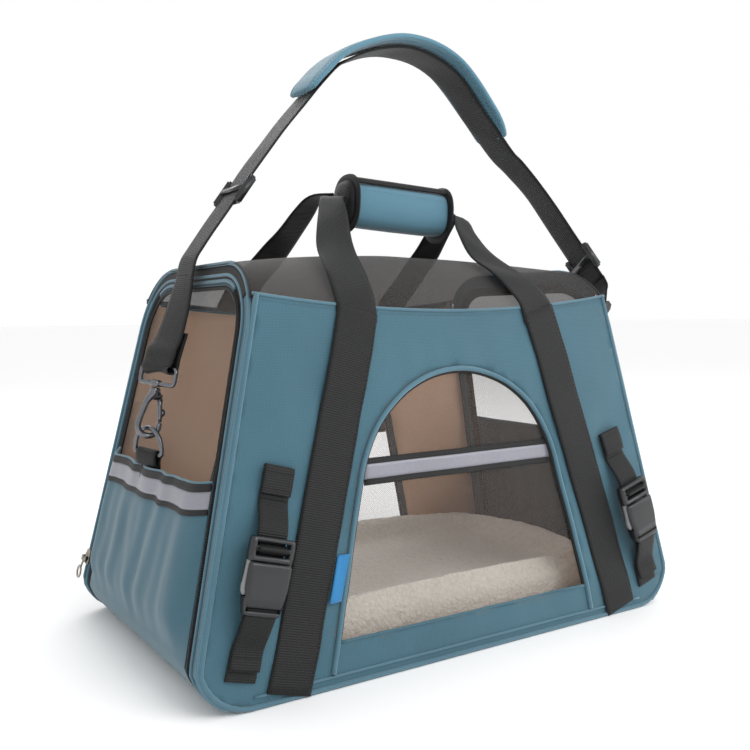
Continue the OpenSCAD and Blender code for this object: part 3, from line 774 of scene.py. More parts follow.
zipLook = dict(toothPitch=1.8, toothWide=2.6, centre=16.2)
toothPoints = ((-1, -1, 0), (1, -1, 0), (1, 1, 0), (-1, 1, 0),
               (-0.7, -0.6, 1), (0.7, -0.6, 1), (0.7, 0.6, 1), (-0.7, 0.6, 1))
toothFaces = ((4, 5, 6, 7), (0, 1, 5, 4), (1, 2, 6, 5), (2, 3, 7, 6), (3, 0, 4, 7), (3, 2, 1, 0))
for hand, word in hands:
    hoop = archStrip(word + "Hoop", (0.6, 12), -0.3, teal, hand, 4, 0.9)
    place(thicken(hoop, 1.6), "root", "canvas", "end_hoops")
    place(archTube(word + "HoopPiping", 1.2, 0.3, 1.9, tealPiping, hand, hingeT - 12), "root", "canvas")
    place(archTube(word + "ZipPiping", 9.8, 0.9, 1.4, tealPiping, hand), "root", "canvas")
    # over the top of the arch black tape covers the border, but for a narrow teal flap over the zip
    cap = archStrip(word + "ArchTape", (2.6, 13.2), 0.9, binding, hand, 4, 0.5, 281)
    place(thicken(cap, 0.9), "root", "binding")
    flap = archStrip(word + "ArchFlap", (12.6, 17.4), 1.3, tealPiping, hand, 2, 0.3, 288)
    place(thicken(flap, 0.8), "root", "canvas")
    tape = archStrip(word + "ZipTape", (10.6, 18.4), 0.5, coil, hand, 2)
    place(thicken(tape, 1.0), "root", "zip", "zip_tapes")

    line, outer = ([endPoint(t, y, 0.9, hand) for t, y in archLine(zipLook["centre"] - d)] for d in (0, 1))
    points, faces, flat = [], [], []
    carried = 0
    for i in range(len(line) - 1):
        gap = (line[i + 1] - line[i]).length
        while carried < gap:
            c = line[i].lerp(line[i + 1], carried / gap)
            cross = (outer[i] - line[i]).normalized()
            way = (line[i + 1] - line[i]).normalized()
            up = way.cross(cross) * 0.7
            n = len(points)
            up = up if up.x * hand > 0 else -up
            for u, w, h in toothPoints:
                points.append(c + cross * u * zipLook["toothWide"] / 2 + way * w * 0.6 + up * h)
                flat.append((u, w))
            faces += [tuple(n + corner for corner in face) for face in toothFaces]
            carried += zipLook["toothPitch"]
        carried -= gap
    place(faceOutward(makePiece(word + "ZipTeeth", points, faces, coil, flat, smooth=False)), "root", "zip")

# the crown: a curved net roof, round-shouldered at its ends and pulled flatter by the handle between them
domeRise = bag["crownTop"] - bag["archTop"]
domeRadius = (bag["seamX"] ** 2 + domeRise ** 2) / (2 * domeRise)


def crownPoint(s, u):  # s runs along the bag and u across it, both from -1 to 1
    x = s * 174
    low, y = seamZ(x) - 3, legY(seamZ(x) - 3) - 2.2
    top = bag["crownTop"] - 1 - (domeRadius - math.sqrt(domeRadius ** 2 - x * x))
    r = 58 + 58 * (1 - s * s) ** 0.6
    r = max(r, top - low + 2)
    flatHalf = max(4, y - math.sqrt(r * r - (r - (top - low)) ** 2))
    start = math.asin(max(-1, min(1, (r - (top - low)) / r)))
    share = flatHalf / (flatHalf + r * (math.pi / 2 - start))
    if abs(u) < share:
        cross, z = u / share * flatHalf, top
    else:
        a = start + (math.pi / 2 - start) * (1 - (abs(u) - share) / (1 - share))
        scale = (y - flatHalf) / (r * math.cos(start))
        cross = math.copysign(flatHalf + r * math.cos(a) * scale, u)
        z = top - r + r * math.sin(a)
    z += 0.8 * noise.noise(Vector((x / 50, cross / 40, 2))) * (1 - abs(s)) * (1 - abs(u))
    return Vector((s * (endX(z) - 3.4), cross, z))


def onCrown(i, k):
    s, u = -1 + i / 30, -1 + k / 22
    return crownPoint(s, u), (174 * s, 150 * u)


crown = turnTo(laidSheet("crownNet", 61, 45, onCrown, crownNet), (0, 0, 1))
place(crown, "root", "mesh", "top_mesh")
for hand, word in hands:
    rim = [crownPoint(hand, -1 + k / 22) + Vector((hand * 0.4, 0, -0.6)) for k in range(45)]
    place(tube(word + "CrownBinding", rim, 1.3, binding, sides=8, flatten=0.7), "root", "binding")

# ---------------- doors ----------------

print("doors")
pocketTop = 152
doorInset = 19


def pocketSwell(t, y):  # the gathered pocket front stands off the door, with soft upright folds
    z = heightAt(t)
    up = clamped((z - 26) / 42)
    up = up * up * (3 - 2 * up)
    near = max(0, (z - 112) / 40)
    stand = 12.2 - 2.6 * near + 2.4 * math.exp(-(y / 24) ** 2) * near
    room = math.sin(clamped((legY(z, doorInset) - abs(y)) / 26) * math.pi / 2)
    fold = math.sin(y / 7.5 + 1.3 * math.sin(y / 31) + z / 60) * 0.9 + math.sin(y / 3.9 + z / 25) * 0.35
    fold += noise.noise(Vector((y / 16, z / 50, 3))) * 1.4
    return 1.0 + up * room * (stand + fold)


def slopeMatrix(hand):  # the frame of an end: +Z up the slope, -X outward, from the sharp lower edge
    mirror = Matrix.Diagonal((-hand, 1, 1, 1))
    return mirror @ Matrix.Translation((-bag["length"] / 2, 0, 0)) @ Matrix.Rotation(lean, 4, "Y")


for hand, word in hands:
    door = word + "_door"
    outline = archLine(doorInset - 0.8, hingeT + 1, legs=30)
    doorNet = cutSheet(word + "DoorNet", outline, [], 8, lambda t, y: endPoint(t, y, -0.8, hand), net)
    turnTo(doorNet, (hand, 0, 0))
    place(doorNet, door, "mesh", word + "_door_mesh")
    trim = archTube(word + "DoorBinding", doorInset + 0.8, 0.2, 1.3, binding, hand, hingeT + 2)
    place(trim, door, "binding", word + "_door_trim")

    low, high = hingeT + 5, pathAt(pocketTop)

    def onPocket(i, k):
        t = low + (high - low) * i / 40
        y = legY(heightAt(t), doorInset - 0.5) * (-1 + k / 55)
        return endPoint(t, y, pocketSwell(t, y), hand), (y, t)

    pocket = turnTo(laidSheet(word + "Pocket", 41, 111, onPocket, teal), (hand, 0, 0))
    place(thicken(pocket, 1.0), door, "canvas", word + "_pocket")

    # the pocket's top: a reflective band between two dark edges, with a bound rim
    def onPocketBand(i, k):
        t = pathAt(zLow + (zHigh - zLow) * k / 4)
        y = (-1 + i / 40) * legY(heightAt(t), doorInset - 0.3)
        return endPoint(t, y, pocketSwell(t, y) + lift, hand), (t, y)

    for part, zLow, zHigh, cloth, lift in (("Band", 134, 147.5, silver, 1.1),
                                           ("BandLowEdge", 131, 134.8, binding, 1.3),
                                           ("BandTopEdge", 147, 152.4, binding, 1.5)):
        band = turnTo(laidSheet(word + "Pocket" + part, 81, 5, onPocketBand, cloth), (hand, 0, 0))
        place(thicken(band, 0.7), door, "reflective", word + "_pocket_strip")
    t = pathAt(pocketTop)
    rim = [endPoint(t, y, pocketSwell(t, y) - 0.2, hand)
           for y in [legY(pocketTop, doorInset) * (-1 + k / 40) for k in range(81)]]
    place(tube(word + "PocketRim", rim, 1.4, tealPiping, sides=8), door, "canvas")

    # the cloth at the foot of the door, laid round the corner where the door opens
    def onFoot(i, k):
        t = hingeT - 7 + 28 * i / 24
        y = legY(heightAt(t), doorInset - 3) * (-1 + k / 20)
        return endPoint(t, y, 0.55, hand), (t, y)

    foot = thicken(turnTo(laidSheet(word + "DoorFoot", 25, 41, onFoot, teal), (hand, 0, -0.5)), 0.9)
    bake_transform(foot)

# ---------------- rings, hooks and zip pulls ----------------

print("rings and hooks")
hardware = dict(ringS=163, ringOut=8.5, ringHalf=16, ringWire=1.9, ringLeg=3.5, ringTurn=20, tabWide=26,
                hookS=184.2, hookOut=13, hookTurn=-10, bowRadius=8, rod=2.4,
                eyeZ=31, eyeFoot=2.5, eyeHigh=13, eyeHalf=20.5, eyeCorner=3.2, eyeWire=1.8)


for hand, word in hands:
    slope = slopeMatrix(hand)
    turn = Matrix.Rotation(math.radians(hardware["ringTurn"]), 4, "Z")
    ringFrame = slope @ Matrix.Translation((-hardware["ringOut"], 0, hardware["ringS"])) @ turn
    upright = ringFrame @ Matrix.Rotation(-lean, 4, "Y")
    h, leg = hardware["ringHalf"], hardware["ringLeg"]
    line = [(0, -h + 2 * h * i / 10, 0) for i in range(1, 10)] + [(0, h - 0.6, 0.4), (0, h, 1.4)]
    turns = [math.pi * i / 24 for i in range(25)]
    line += [(0, h * math.cos(a), leg + 1.04 * h * math.sin(a)) for a in turns]
    line += [(0, -h, 1.4), (0, -h + 0.6, 0.4)]
    place(tube(word + "DRing", moved(line, upright), hardware["ringWire"], gunmetal, closed=True, sides=12),
          word + "_ring", "hardware", word + "_d_ring")

    # a webbing tab folded over the ring's bar and sewn behind the pocket's top
    tabLine = smoothLine(((6.0, 0, -27), (5.2, 0, -14), (3.1, 0, -5), (2.7, 0, 0.5),
                          (0, 0, 3.1), (-2.7, 0, 0.5), (-1.8, 0, -4.5), (0.6, 0, -9.5)), 4)
    tab = strap(word + "RingTab", moved(tabLine, ringFrame), hardware["tabWide"],
                turned(ringFrame, (0, 1, 0)), 1.5, webbing)
    place(tab, word + "_door", "webbing", word + "_ring_tab")

    hookFrame = slope @ Matrix.Translation((-hardware["hookOut"], 0, hardware["hookS"]))
    body = hookFrame @ Matrix.Rotation(math.radians(hardware["hookTurn"]), 4, "Z")
    r = hardware["bowRadius"]
    line = [(r + 0.1, 0, 3.3), (r, 0, 1.6)]
    line += [(r * math.cos(math.pi * i / 18), 0, -r * math.sin(math.pi * i / 18)) for i in range(19)]
    line += [(-7.5, 0, 4), (-6.6, 0, 9), (-5.7, 0, 14), (-4.6, 0, 19), (-2.6, 0, 23),
             (-0.6, 0, 25.5), (0, 0, 28.5)]
    radii = [1.7, 2.2] + [hardware["rod"]] * 19 + [2.3, 2.2, 2.3, 2.5, 3.2, 3.9, 3.2]
    hook = tube(word + "SnapHook", moved(line, body), radii, gunmetal, sides=12)
    collarLine = moved([(0, 0, z) for z in (26.6, 27.2, 29.4, 30.4)], body)
    collar = tube(word + "HookCollar", collarLine, [3.0, 4.0, 4.0, 2.8], gunmetal, sides=16)
    shoulder = roundedBox(word + "HookShoulder", (11.5, 4.8, 6.4), 1.8, gunmetal,
                          body @ Matrix.Translation((0.8, 0, 23.8)))
    place(joinPieces(hook, collar, shoulder), word + "_hook", "hardware", word + "_hook")
    gateLine = [(8.05, 0, 3.9), (7.5, 0, 8), (6.9, 0, 12), (6.1, 0, 16), (4.9, 0, 21.9)]
    gate = tube(word + "SnapGate", moved(gateLine, body), [1.7, 2.0, 2.0, 2.0, 2.3], gunmetal, sides=12)
    lever = roundedBox(word + "GateLever", (3.6, 3.2, 6), 1.0, gunmetal,
                       body @ Matrix.Translation((9.0, 0, 11.5)) @ Matrix.Rotation(-0.14, 4, "Y"))
    place(joinPieces(gate, lever), word + "_gate", "hardware", word + "_gate")

    eyeFrame = hookFrame @ turn @ Matrix.Translation((0, 0, hardware["eyeZ"]))
    r = hardware["eyeCorner"]
    w, low = hardware["eyeHalf"] - r, hardware["eyeFoot"] + r
    high = hardware["eyeFoot"] + hardware["eyeHigh"] - r
    line = []
    for y, z, start in ((w, high, 0), (-w, high, 90), (-w, low, 180), (w, low, 270)):
        for i in range(5):
            a = math.radians(start + 22.5 * i)
            line.append((0, y + r * math.cos(a), z + r * math.sin(a)))
    eye = tube(word + "HookEye", moved(line, eyeFrame), hardware["eyeWire"], gunmetal, closed=True, sides=12)
    barrelLine = moved([(0, 0, z) for z in (0, 0.6, 2.4, 4.8, 5.4)], eyeFrame)
    barrel = tube(word + "EyeBarrel", barrelLine, [3.4, 4.3, 4.5, 4.0, 2.6], gunmetal, sides=16)
    place(joinPieces(eye, barrel), word + "_ring", "hardware", word + "_hook_eye")

# ---------------- handle ----------------

print("handle")
handle = dict(webWide=38, webThick=1.7, runLow=(166, 5), runTop=(90, 271), runSteps=44, runOut=1.9,
              seamHalf=16.5, gripLong=108, gripTall=44, gripDeep=38, gripCentre=(21, 0, 363), gripTilt=3,
              gripFill=0.7, drop=14, dropFrom=275)
for side, word in sides:
    for hand, handWord in hands:
        (xa, za), (xb, zb), steps = handle["runLow"], handle["runTop"], handle["runSteps"]
        line = [panelPoint(hand * (xa + (xb - xa) * i / steps), za + (zb - za) * i / steps,
                           handle["runOut"], side) for i in range(steps + 1)]
        name = word + handWord.title()
        run = strap(name + "HandleRun", line, handle["webWide"], Vector((1, 0, 0)), handle["webThick"],
                    webbing)
        place(run, "root", "webbing", word + "_handle_straps")
        rows = [[p + Vector((edge, side * 0.95, 0.1)) for p in line]
                for edge in (-handle["seamHalf"], handle["seamHalf"])]
        place(stitches(name + "RunStitches", rows, Vector((0, side, 0.1)), thread), "root", "webbing")


def routed(route, steps):  # a smooth line and the direction of its width; each station is x, y, z, turn
    line = smoothLine([p[:3] for p in route], steps)
    turns = smoothLine([(p[3], 0, 0) for p in route], steps)
    return line, [Vector((math.sin(math.radians(a.x)), math.cos(math.radians(a.x)), 0)) for a in turns]


# the loops leave the panels flat, stand up over the crown and end in the grip, narrowed to half there
loopRoutes = dict(
    frontLeft=((-91.5, -116.2, 262, -90), (-90.5, -112, 278, -90), (-88, -98, 295, -90), (-85, -86, 305, -88),
               (-77, -60, 324, -85), (-62, -32, 351, -75), (-52, -13, 367, -60), (-40, -4, 370, -50)),
    frontRight=((91.5, -116.2, 262, 90), (88, -112, 278, 90), (83, -98, 294, 90), (80, -86, 303, 88),
                (77, -60, 318, 85), (80, -32, 342, 75), (89, -13, 357, 62), (80, -4, 361, 50)),
    backLeft=((-91.5, 116.2, 262, 90), (-88, 112, 278, 90), (-81, 99, 298, 90), (-74, 88, 310, 85),
              (-60, 62, 337, 80), (-55, 32, 360, 75), (-53, 14, 371, 62), (-40, 4, 373, 50)),
    backRight=((91.5, 116.2, 262, -90), (93, 112, 278, -90), (98, 99, 295, -90), (100, 87, 306, -88),
               (98, 58, 327, -85), (94, 30, 348, -75), (91, 13, 360, -62), (80, 4, 363, -50)))
for name, route in loopRoutes.items():
    line, ways = routed(route, 6)
    shares = [max(0, (i / (len(line) - 1) - 0.4) / 0.6) for i in range(len(line))]
    widths = [handle["webWide"] * (1 - 0.5 * f * f * (3 - 2 * f)) for f in shares]
    loop = strap(name + "HandleLoop", line, widths, ways, handle["webThick"], webbing, ripple=0.5)
    place(loop, "root", "webbing", ("front" if name.startswith("front") else "back") + "_handle_loops")
    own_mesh(loop)

gripTilt = Matrix.Rotation(math.radians(handle["gripTilt"]), 4, "Y")
gripFrame = Matrix.Translation(handle["gripCentre"]) @ gripTilt


def gripRing(x, shrink, count=28, power=2.6):
    a, b = handle["gripDeep"] / 2 - shrink, handle["gripTall"] / 2 - shrink
    ring = []
    for i in range(count):
        t = 2 * math.pi * i / count
        c, s = math.cos(t), math.sin(t)
        ring.append(gripFrame @ Vector((x, a * math.copysign(abs(c) ** (2 / power), c),
                                        b * math.copysign(abs(s) ** (2 / power), s))))
    return ring


half = handle["gripLong"] / 2
endRings = ((0, 7), (1, 4), (4, 2.2), (20, 1.6), (half, 1.5))
sections = [gripRing(-half + d, s) for d, s in endRings]
sections += [gripRing(half - d, s) for d, s in endRings[-2::-1]]
grip = solidFrom("gripPad", sections, tealPad)
readyMesh(inflate(grip, 3.5, 3.0, 4), tealPad)
place(grip, "handle", "padding", "handle_grip")
for out, label in ((-1, "Left"), (1, "Right")):
    x = out * (half - 3.5)
    ring = gripRing(x, 0.1, 40)
    capRings = [gripRing(x + out * d, s) for d, s in ((1, 1.6), (3.6, 2.6), (5.4, 6), (6.2, 11))]
    place(solidFrom("grip" + label + "Cap", capRings, binding), "handle", "padding")
    rim = tube("grip" + label + "Binding", ring, 4.2, binding, closed=True, flatten=0.38,
               upright=turned(gripFrame, (0, 0, 1)))
    place(rim, "handle", "padding")


def gripSurface(x, angle, lift):  # angle 0 is the front, 90 the top
    a, b = handle["gripDeep"] / 2 + lift, handle["gripTall"] / 2 + lift
    t = math.radians(angle)
    c, s = math.cos(t), math.sin(t)
    y, z = -a * math.copysign(abs(c) ** 0.77, c), b * math.copysign(abs(s) ** 0.77, s)
    return gripFrame @ Vector((x, y, z))


edge = [gripSurface(x, 62 + 0.06 * x, 0.4) for x in range(int(-half + 4), int(half - 3), 4)]
flap = tube("gripFlapBinding", edge, 4.4, binding, flatten=0.45, upright=turned(gripFrame, (0, -0.5, 0.8)))
place(flap, "handle", "padding")
row = [gripSurface(x, 22, 0.9) for x in range(int(-half + 9), int(half - 8), 3)]
place(stitches("gripStitches", [row], turned(gripFrame, (0, -1, 0.3)), tealThread), "handle", "padding")
for out, label in ((-1, "Left"), (1, "Right")):
    line = moved([(out * (half + d), 0, 2) for d in (-12, -4, 2, 8, 13)], gripFrame)
    core = strap("grip" + label + "Core", line, [26, 27, 26, 24, 20], turned(gripFrame, (0, 0.9, 0.4)), 7,
                 webbing, 12)
    place(smoothSubdivide(core), "handle", "padding")

# ---------------- belts and buckles ----------------

print("belts")
belts = dict(low=(-202, 22), top=(-164, 160), wide=25, thick=1.7, bow=dict(front=14, back=24), tail=20,
             release=26)
beltRise = Vector((belts["top"][0] - belts["low"][0], belts["top"][1] - belts["low"][1]))
beltTurn = math.atan2(beltRise.x, beltRise.y)
beltHalf = beltRise.length / 2


def beltFrame(side, hand, bow):  # +Z up the belt, -Y off the panel, with its origin in the buckle
    mirror = Matrix.Diagonal((-hand, -side, 1, 1))
    middle = [(belts["low"][k] + belts["top"][k]) / 2 for k in (0, 1)]
    return (mirror @ Matrix.Translation((0, -bag["width"] / 2, 0))
            @ Matrix.Rotation(-math.atan(bag["sideRun"]), 4, "X")
            @ Matrix.Translation((middle[0], -bow, middle[1])) @ Matrix.Rotation(beltTurn, 4, "Y"))


def copyTo(piece, name, matrix):  # a copy of a piece made round the origin, put where the matrix says
    mesh = piece.data.copy()
    placed = matrix.copy()
    placed.translation = matrix.translation * mm
    mesh.transform(placed)
    copied = bpy.data.objects.new(name, mesh)
    bpy.context.scene.collection.objects.link(copied)
    return faceOutward(copied)


def plate(wide, deep, radius, z, count=10):  # a rounded rectangle of points at one height
    ring = []
    for cx, cy, start in ((1, 1, 0), (-1, 1, 90), (-1, -1, 180), (1, -1, 270)):
        for i in range(count + 1):
            a = math.radians(start + 90 * i / count)
            ring.append(Vector((cx * (wide / 2 - radius) + radius * math.cos(a),
                                cy * (deep / 2 - radius) + radius * math.sin(a), z)))
    return ring


socketPlates = ((25, 7, 2.5, -26), (27, 9, 3, -25), (28.5, 11, 4, -21), (31, 12, 4.5, -14),
                (33.4, 12, 4.5, -7), (34, 12, 4.5, 1), (34, 12, 4.5, 7), (32.6, 10.8, 4, 9))
plugPlates = ((31, 6, 2.4, 9.2), (33.4, 8, 3, 10), (34, 8, 3, 14), (34, 8, 3, 22), (33.4, 7.6, 3, 25),
              (31.6, 5.6, 2.4, 26))
socketForm = solidFrom("socketForm", [plate(*p) for p in socketPlates], acetal)
cutWith(socketForm, [((27.2, 7.2, 35), (0, 0, -0.6)), ((12, 7.4, 26), (18.4, 0, -1)),
                     ((12, 7.4, 26), (-18.4, 0, -1)), ((26, 24, 3), (0, 0, -21.6))])
plugFrame = solidFrom("plugFrame", [plate(*p) for p in plugPlates], acetal)
cutWith(plugFrame, [((26, 20, 3.4), (0, 0, 21.4)), ((26, 20, 3.2), (0, 0, 15.2))])
prongRoute = ((14.2, 11), (14.4, 6), (14.6, 0), (15.0, -5), (15.0, -9), (13.8, -13))
prongRadii = [2.3] * 13 + [2.5] * 5 + [2.3, 2.0, 1.3]
# the prongs and the guide are drawn in the light grey acetal: a painted highlight
arms = [tube("arm", smoothLine([(s * x, 0, z) for x, z in prongRoute], 4), prongRadii, highlightPaintedAcetal, sides=12)
        for s in (-1, 1)]
guide = roundedBox("guide", (4.8, 4.8, 28), 1.2, highlightPaintedAcetal, Matrix.Translation((0, 0, -3.5)))
prongs = joinPieces(*arms, guide)

for side, word in sides:
    for hand, handWord in hands:
        bow = belts["bow"][word]
        belt = beltFrame(side, hand, bow)
        name = word + handWord.title()
        plugBody = word + "_" + handWord + "_plug"
        foot = beltHalf - belts["tail"]
        low = -beltHalf + belts["tail"]

        # stations are (off the panel, up the belt)
        def beltPiece(part, stations, steps, wide=belts["wide"], thick=belts["thick"]):
            line = moved(smoothLine([(0, y, z) for y, z in stations], steps), belt)
            return strap(name + part, line, wide, turned(belt, (1, 0, 0)), thick, webbing)

        place(copyTo(socketForm, name + "Socket", belt), "root", "plastic", "buckle_sockets")
        plug = joinPieces(copyTo(plugFrame, name + "Plug", belt), copyTo(prongs, name + "Prongs", belt))
        place(plug, plugBody, "plastic", plugBody)

        stations = ((bow - 2.6, -beltHalf), (bow - 3.2, -beltHalf + 10), (bow - 3.4, low), (bow * 0.35, -38),
                    (2.6, -27), (2.2, -21.6), (0, -19.2), (-2.4, -21.4), (-1.4, -27),
                    (bow * 0.35 - 2.4, -37), (bow - 6.4, low + 2), (bow - 6.6, -beltHalf + 8))
        place(beltPiece("LowerBelt", stations, 5), "root", "webbing", "lower_belts")
        stations = ((2.6, 25), (2.4, 22), (0.2, 20.6), (-3.2, 19.4), (-5.2, 18.2), (-3.2, 17), (0.4, 15.6),
                    (3.2, 13.5))
        threaded = beltPiece("ThreadedBelt", stations, 4, belts["wide"] - 0.6, 1.4)
        place(threaded, plugBody, "webbing")
        upper = beltPiece("UpperBelt", ((2.6, 24.6), (2.4, 30), (bow * 0.3, 36), (bow - 4, foot - 3),
                                        (bow - 3.4, foot)), 5)
        place(upper, "root", "webbing", plugBody.replace("plug", "upper_belt"))
        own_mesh(upper)
        stations = ((bow - 3.4, foot - 0.5), (bow - 3.4, foot + 8), (bow - 3.0, beltHalf))
        place(beltPiece("SewnEnd", stations, 4), "root", "webbing")
        stations = ((bow - 5.4, foot + 3), (bow - 5.6, foot + 10), (bow - 5.0, beltHalf + 1),
                    (bow - 3.8, beltHalf + 2.6), (bow - 2.6, beltHalf + 1))
        place(beltPiece("FoldedEnd", stations, 4, belts["wide"] + 0.6), "root", "webbing")
        for part, z, y in (("Upper", foot + 7, bow - 6.8), ("UpperTop", beltHalf - 1.5, bow - 6.2),
                           ("Lower", -beltHalf + 5, bow - 7.7), ("LowerTop", -beltHalf + 17, bow - 7.6)):
            row = moved([(x, y, z) for x in range(-10, 11, 2)], belt)
            place(stitches(name + part + "Stitches", [row], turned(belt, (0, -1, 0)), thread, 2.6, 2.0),
                  "root", "webbing")
for form in (socketForm, plugFrame, prongs):
    bpy.data.objects.remove(form)

# ---------------- zip sliders and pulls ----------------

print("zips")
slider = dict(y=120.5, s=55.4, skew=24)
for hand, word in hands:
    onSlider = (slopeMatrix(hand) @ Matrix.Translation((0, slider["y"], slider["s"]))
                @ Matrix.Rotation(math.atan(bag["sideRun"] * math.cos(lean)), 4, "X"))
    parts = [roundedBox(name, size, radius, zipMetal, onSlider @ Matrix.Translation(centre))
             for name, size, radius, centre in ((word + "Slider", (2.8, 7.8, 14), 1.1, (-1.8, 0, 0)),
                                                ("waist", (1.2, 5.0, 9), 0.5, (-3.4, 0, -0.5)),
                                                ("lug", (3.4, 1.3, 5), 0.5, (-4.7, -3.2, -1.5)),
                                                ("lug", (3.4, 1.3, 5), 0.5, (-4.7, 3.2, -1.5)))]
    place(joinPieces(*parts), word + "_zip_slider", "zip_metal", word + "_zip_slider")
    hang = onSlider @ Matrix.Translation((-5, 0, -2)) @ Matrix.Rotation(math.radians(slider["skew"]), 4, "X")
    bar = roundedBox(word + "Pull", (1.6, 2.2, 10), 0.6, zipMetal, hang @ Matrix.Translation((0, 0, -5)))
    pin = roundedBox("pin", (2.2, 2.6, 2.2), 0.7, zipMetal, hang)
    ring = [(0, 4.9 * math.cos(math.pi * i / 16), -15 + 4.9 * math.sin(math.pi * i / 16)) for i in range(32)]
    loop = tube("loop", moved(ring, hang), 1.1, zipMetal, closed=True, upright=turned(hang, (1, 0, 0)),
                flatten=0.75)
    place(joinPieces(bar, pin, loop), word + "_zip_pull", "zip_metal", word + "_zip_pull")

# ---------------- shoulder strap ----------------

print("shoulder strap")
shoulder = dict(wide=38, thick=1.8, padWide=54, padThick=8, padFill=0.6, seamShare=0.80, sag=7.2,
                bendTop=299, bendFoot=238)
barHigh = hardware["hookS"] + hardware["eyeZ"] + hardware["eyeFoot"] + hardware["eyeHigh"]
barAt = slopeMatrix(-1) @ Vector((-hardware["hookOut"], 0, barHigh))
upSlope = Vector((math.sin(lean), 0, math.cos(lean)))
offSlope = Vector((-math.cos(lean), 0, math.sin(lean)))
legRoutes = dict(
    left=((-194, 0, 252, -14), (-186, 0, 276, -8), (-180.2, 0, 299, 0), (-179.7, 0, 301, 0)),
    right=((210, -26, 247, 55), (211.8, -44, 254, 85), (213, -64, 263, 72), (213.5, -77, 275, 55),
           (210.3, -73.6, 288, 18), (208.3, -70.5, 295.2, 12), (207.6, -69.4, 297.5, 12)))


for hand, word in hands:
    # the leg goes round the eye's bar; on the left its end is folded back and sewn
    wrap = []
    turn = hand * hardware["ringTurn"] * (1 if hand == -1 else 0.3)
    for s, n in ((30, -5.6), (16, -3.9), (5, -3.1), (0, -2.9), (-2.9, 0), (0, 2.9), (6, 1.9), (14, 0.6)):
        p = barAt + upSlope * s + offSlope * n
        wrap.append((-hand * p.x, p.y, p.z, turn))
    tail = wrap if hand == -1 else wrap[2:]
    line, ways = routed(tail + list(legRoutes[word]), 4)
    leg = strap(word + "StrapLeg", line, shoulder["wide"], ways, shoulder["thick"], webbing, 12)
    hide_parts(word + "_strap_leg")
    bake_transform(leg)
line, ways = routed(((-202.5, 0, 236, -14),) + legRoutes["left"][:3], 6)
rows = [[p + w * offset + offSlope * 2.1 for p, w in zip(line, ways)] for offset in (-9, 9)]
legSeam = stitches("leftLegStitches", rows, offSlope, thread)
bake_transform(legSeam)

leftRise = ((-180, 0, 300, 0), (-177, 0, 312, 0), (-170, 0, 323, 0), (-146, 0, 356, 0), (-110, 0, 405, 0),
            (-75, 0, 453, 0))
padRoute = ((-72.6, 0, 456.3, 0), (-63, 0, 469, 0), (-34, 0, 494, 0), (22, 0, 512, 0), (77, 0, 501, 0),
            (122, 0, 460, 0), (138.6, 0, 437, 0))
rightRise = ((141, 0, 434, 0), (149, 0, 425, 0), (163, -6, 410, 6), (178, -20, 384, 12), (193, -45, 340, 12),
             (208, -70, 296, 12))
underPad = tuple((p[0] * 0.985, p[1], p[2] - shoulder["sag"], p[3]) for p in padRoute[1:-1])
line, ways = routed(leftRise[:-1] + underPad + rightRise[1:], 8)
place(strap("shoulderWebbing", line, shoulder["wide"], ways, shoulder["thick"], webbing, 12, 0.25),
      "shoulder_strap", "webbing", "shoulder_webbing")

line, ways = routed(padRoute, 10)
ends = headings(line)


def padStation(i):  # how near the pad's end, its narrowed width, and its across and up directions
    e = abs(2 * i / (len(line) - 1) - 1)
    w = (ways[i] - ends[i] * ways[i].dot(ends[i])).normalized()
    up = ends[i].cross(w)
    return e, shoulder["padWide"] * (1 - 0.26 * e ** 4), w, up if up.z > 0 else -up


sections = []
for i, p in enumerate(line):
    e, wide, w, up = padStation(i)
    thick = shoulder["padThick"] * (1 - 0.35 * e ** 8) * 0.9
    wide -= 3 * max(0, (e - 0.97) / 0.03)
    ring = []
    for k in range(36):
        a = 2 * math.pi * k / 36
        c, s = math.cos(a), math.sin(a)
        u = math.copysign(abs(c) ** 0.55, c)
        v = math.copysign(abs(s) ** 0.6, s)
        groove = 1 - 0.5 * math.exp(-((abs(u) - shoulder["seamShare"]) / 0.045) ** 2) * abs(v)
        ring.append(p + w * (u * wide / 2) + up * (v * thick / 2 * groove))
    sections.append(ring)
pad = solidFrom("shoulderPad", sections, tealPad)
place(smoothSubdivide(pad), "shoulder_strap", "padding", "shoulder_pad")
rows, ups = [], []
for share in (-shoulder["seamShare"], shoulder["seamShare"]):
    stations = [(p,) + padStation(i) for i, p in enumerate(line)][1:-1]
    rows.append([p + w * share * wide / 2 + up * 2.3 for p, e, wide, w, up in stations])
    ups.append([up for p, e, wide, w, up in stations])
place(stitches("padStitches", rows, ups, tealThread), "shoulder_strap", "padding")

for word, route, distance in (("left", leftRise[2:6:3], 57), ("right", (rightRise[5], rightRise[3]), 23.5)):
    start, stop = Vector(route[0][:3]), Vector(route[1][:3])
    t = (stop - start).normalized()
    turn = math.radians(route[0][3])
    w = Vector((math.sin(turn), math.cos(turn), 0))
    w = (w - t * w.dot(t)).normalized()
    u = t.cross(w)
    at = start + t * distance
    cast = Matrix((w, u, t)).transposed().to_4x4()
    cast.translation = at
    rail = shoulder["wide"] / 2 + 0.6
    parts = [roundedBox(name, (3.6, 7, 26), 1.5, acetal, cast @ Matrix.Translation((x, 0, 0)))
             for name, x in ((word + "Adjuster", rail + 1.8), ("rail", -rail - 1.8))]
    # the two outer bars are drawn in the light grey acetal, a painted highlight; the middle bar is plain
    # black
    for z, y, deep in ((-11.2, -2.5, 3.6), (11.2, -2.5, 3.6), (0, 2.5, 5)):
        parts.append(roundedBox("bar", (2 * rail + 2, 2.2, deep), 0.8, highlightPaintedAcetal if z else acetal,
                                cast @ Matrix.Translation((0, y, z))))
    place(joinPieces(*parts), word + "_adjuster", "plastic", word + "_adjuster")

# ---------------- side tab and bed ----------------

print("bed")
tab = dict(low=61, top=94, left=(-130.4, -121), right=(-120, -111), rows=14, columns=5)


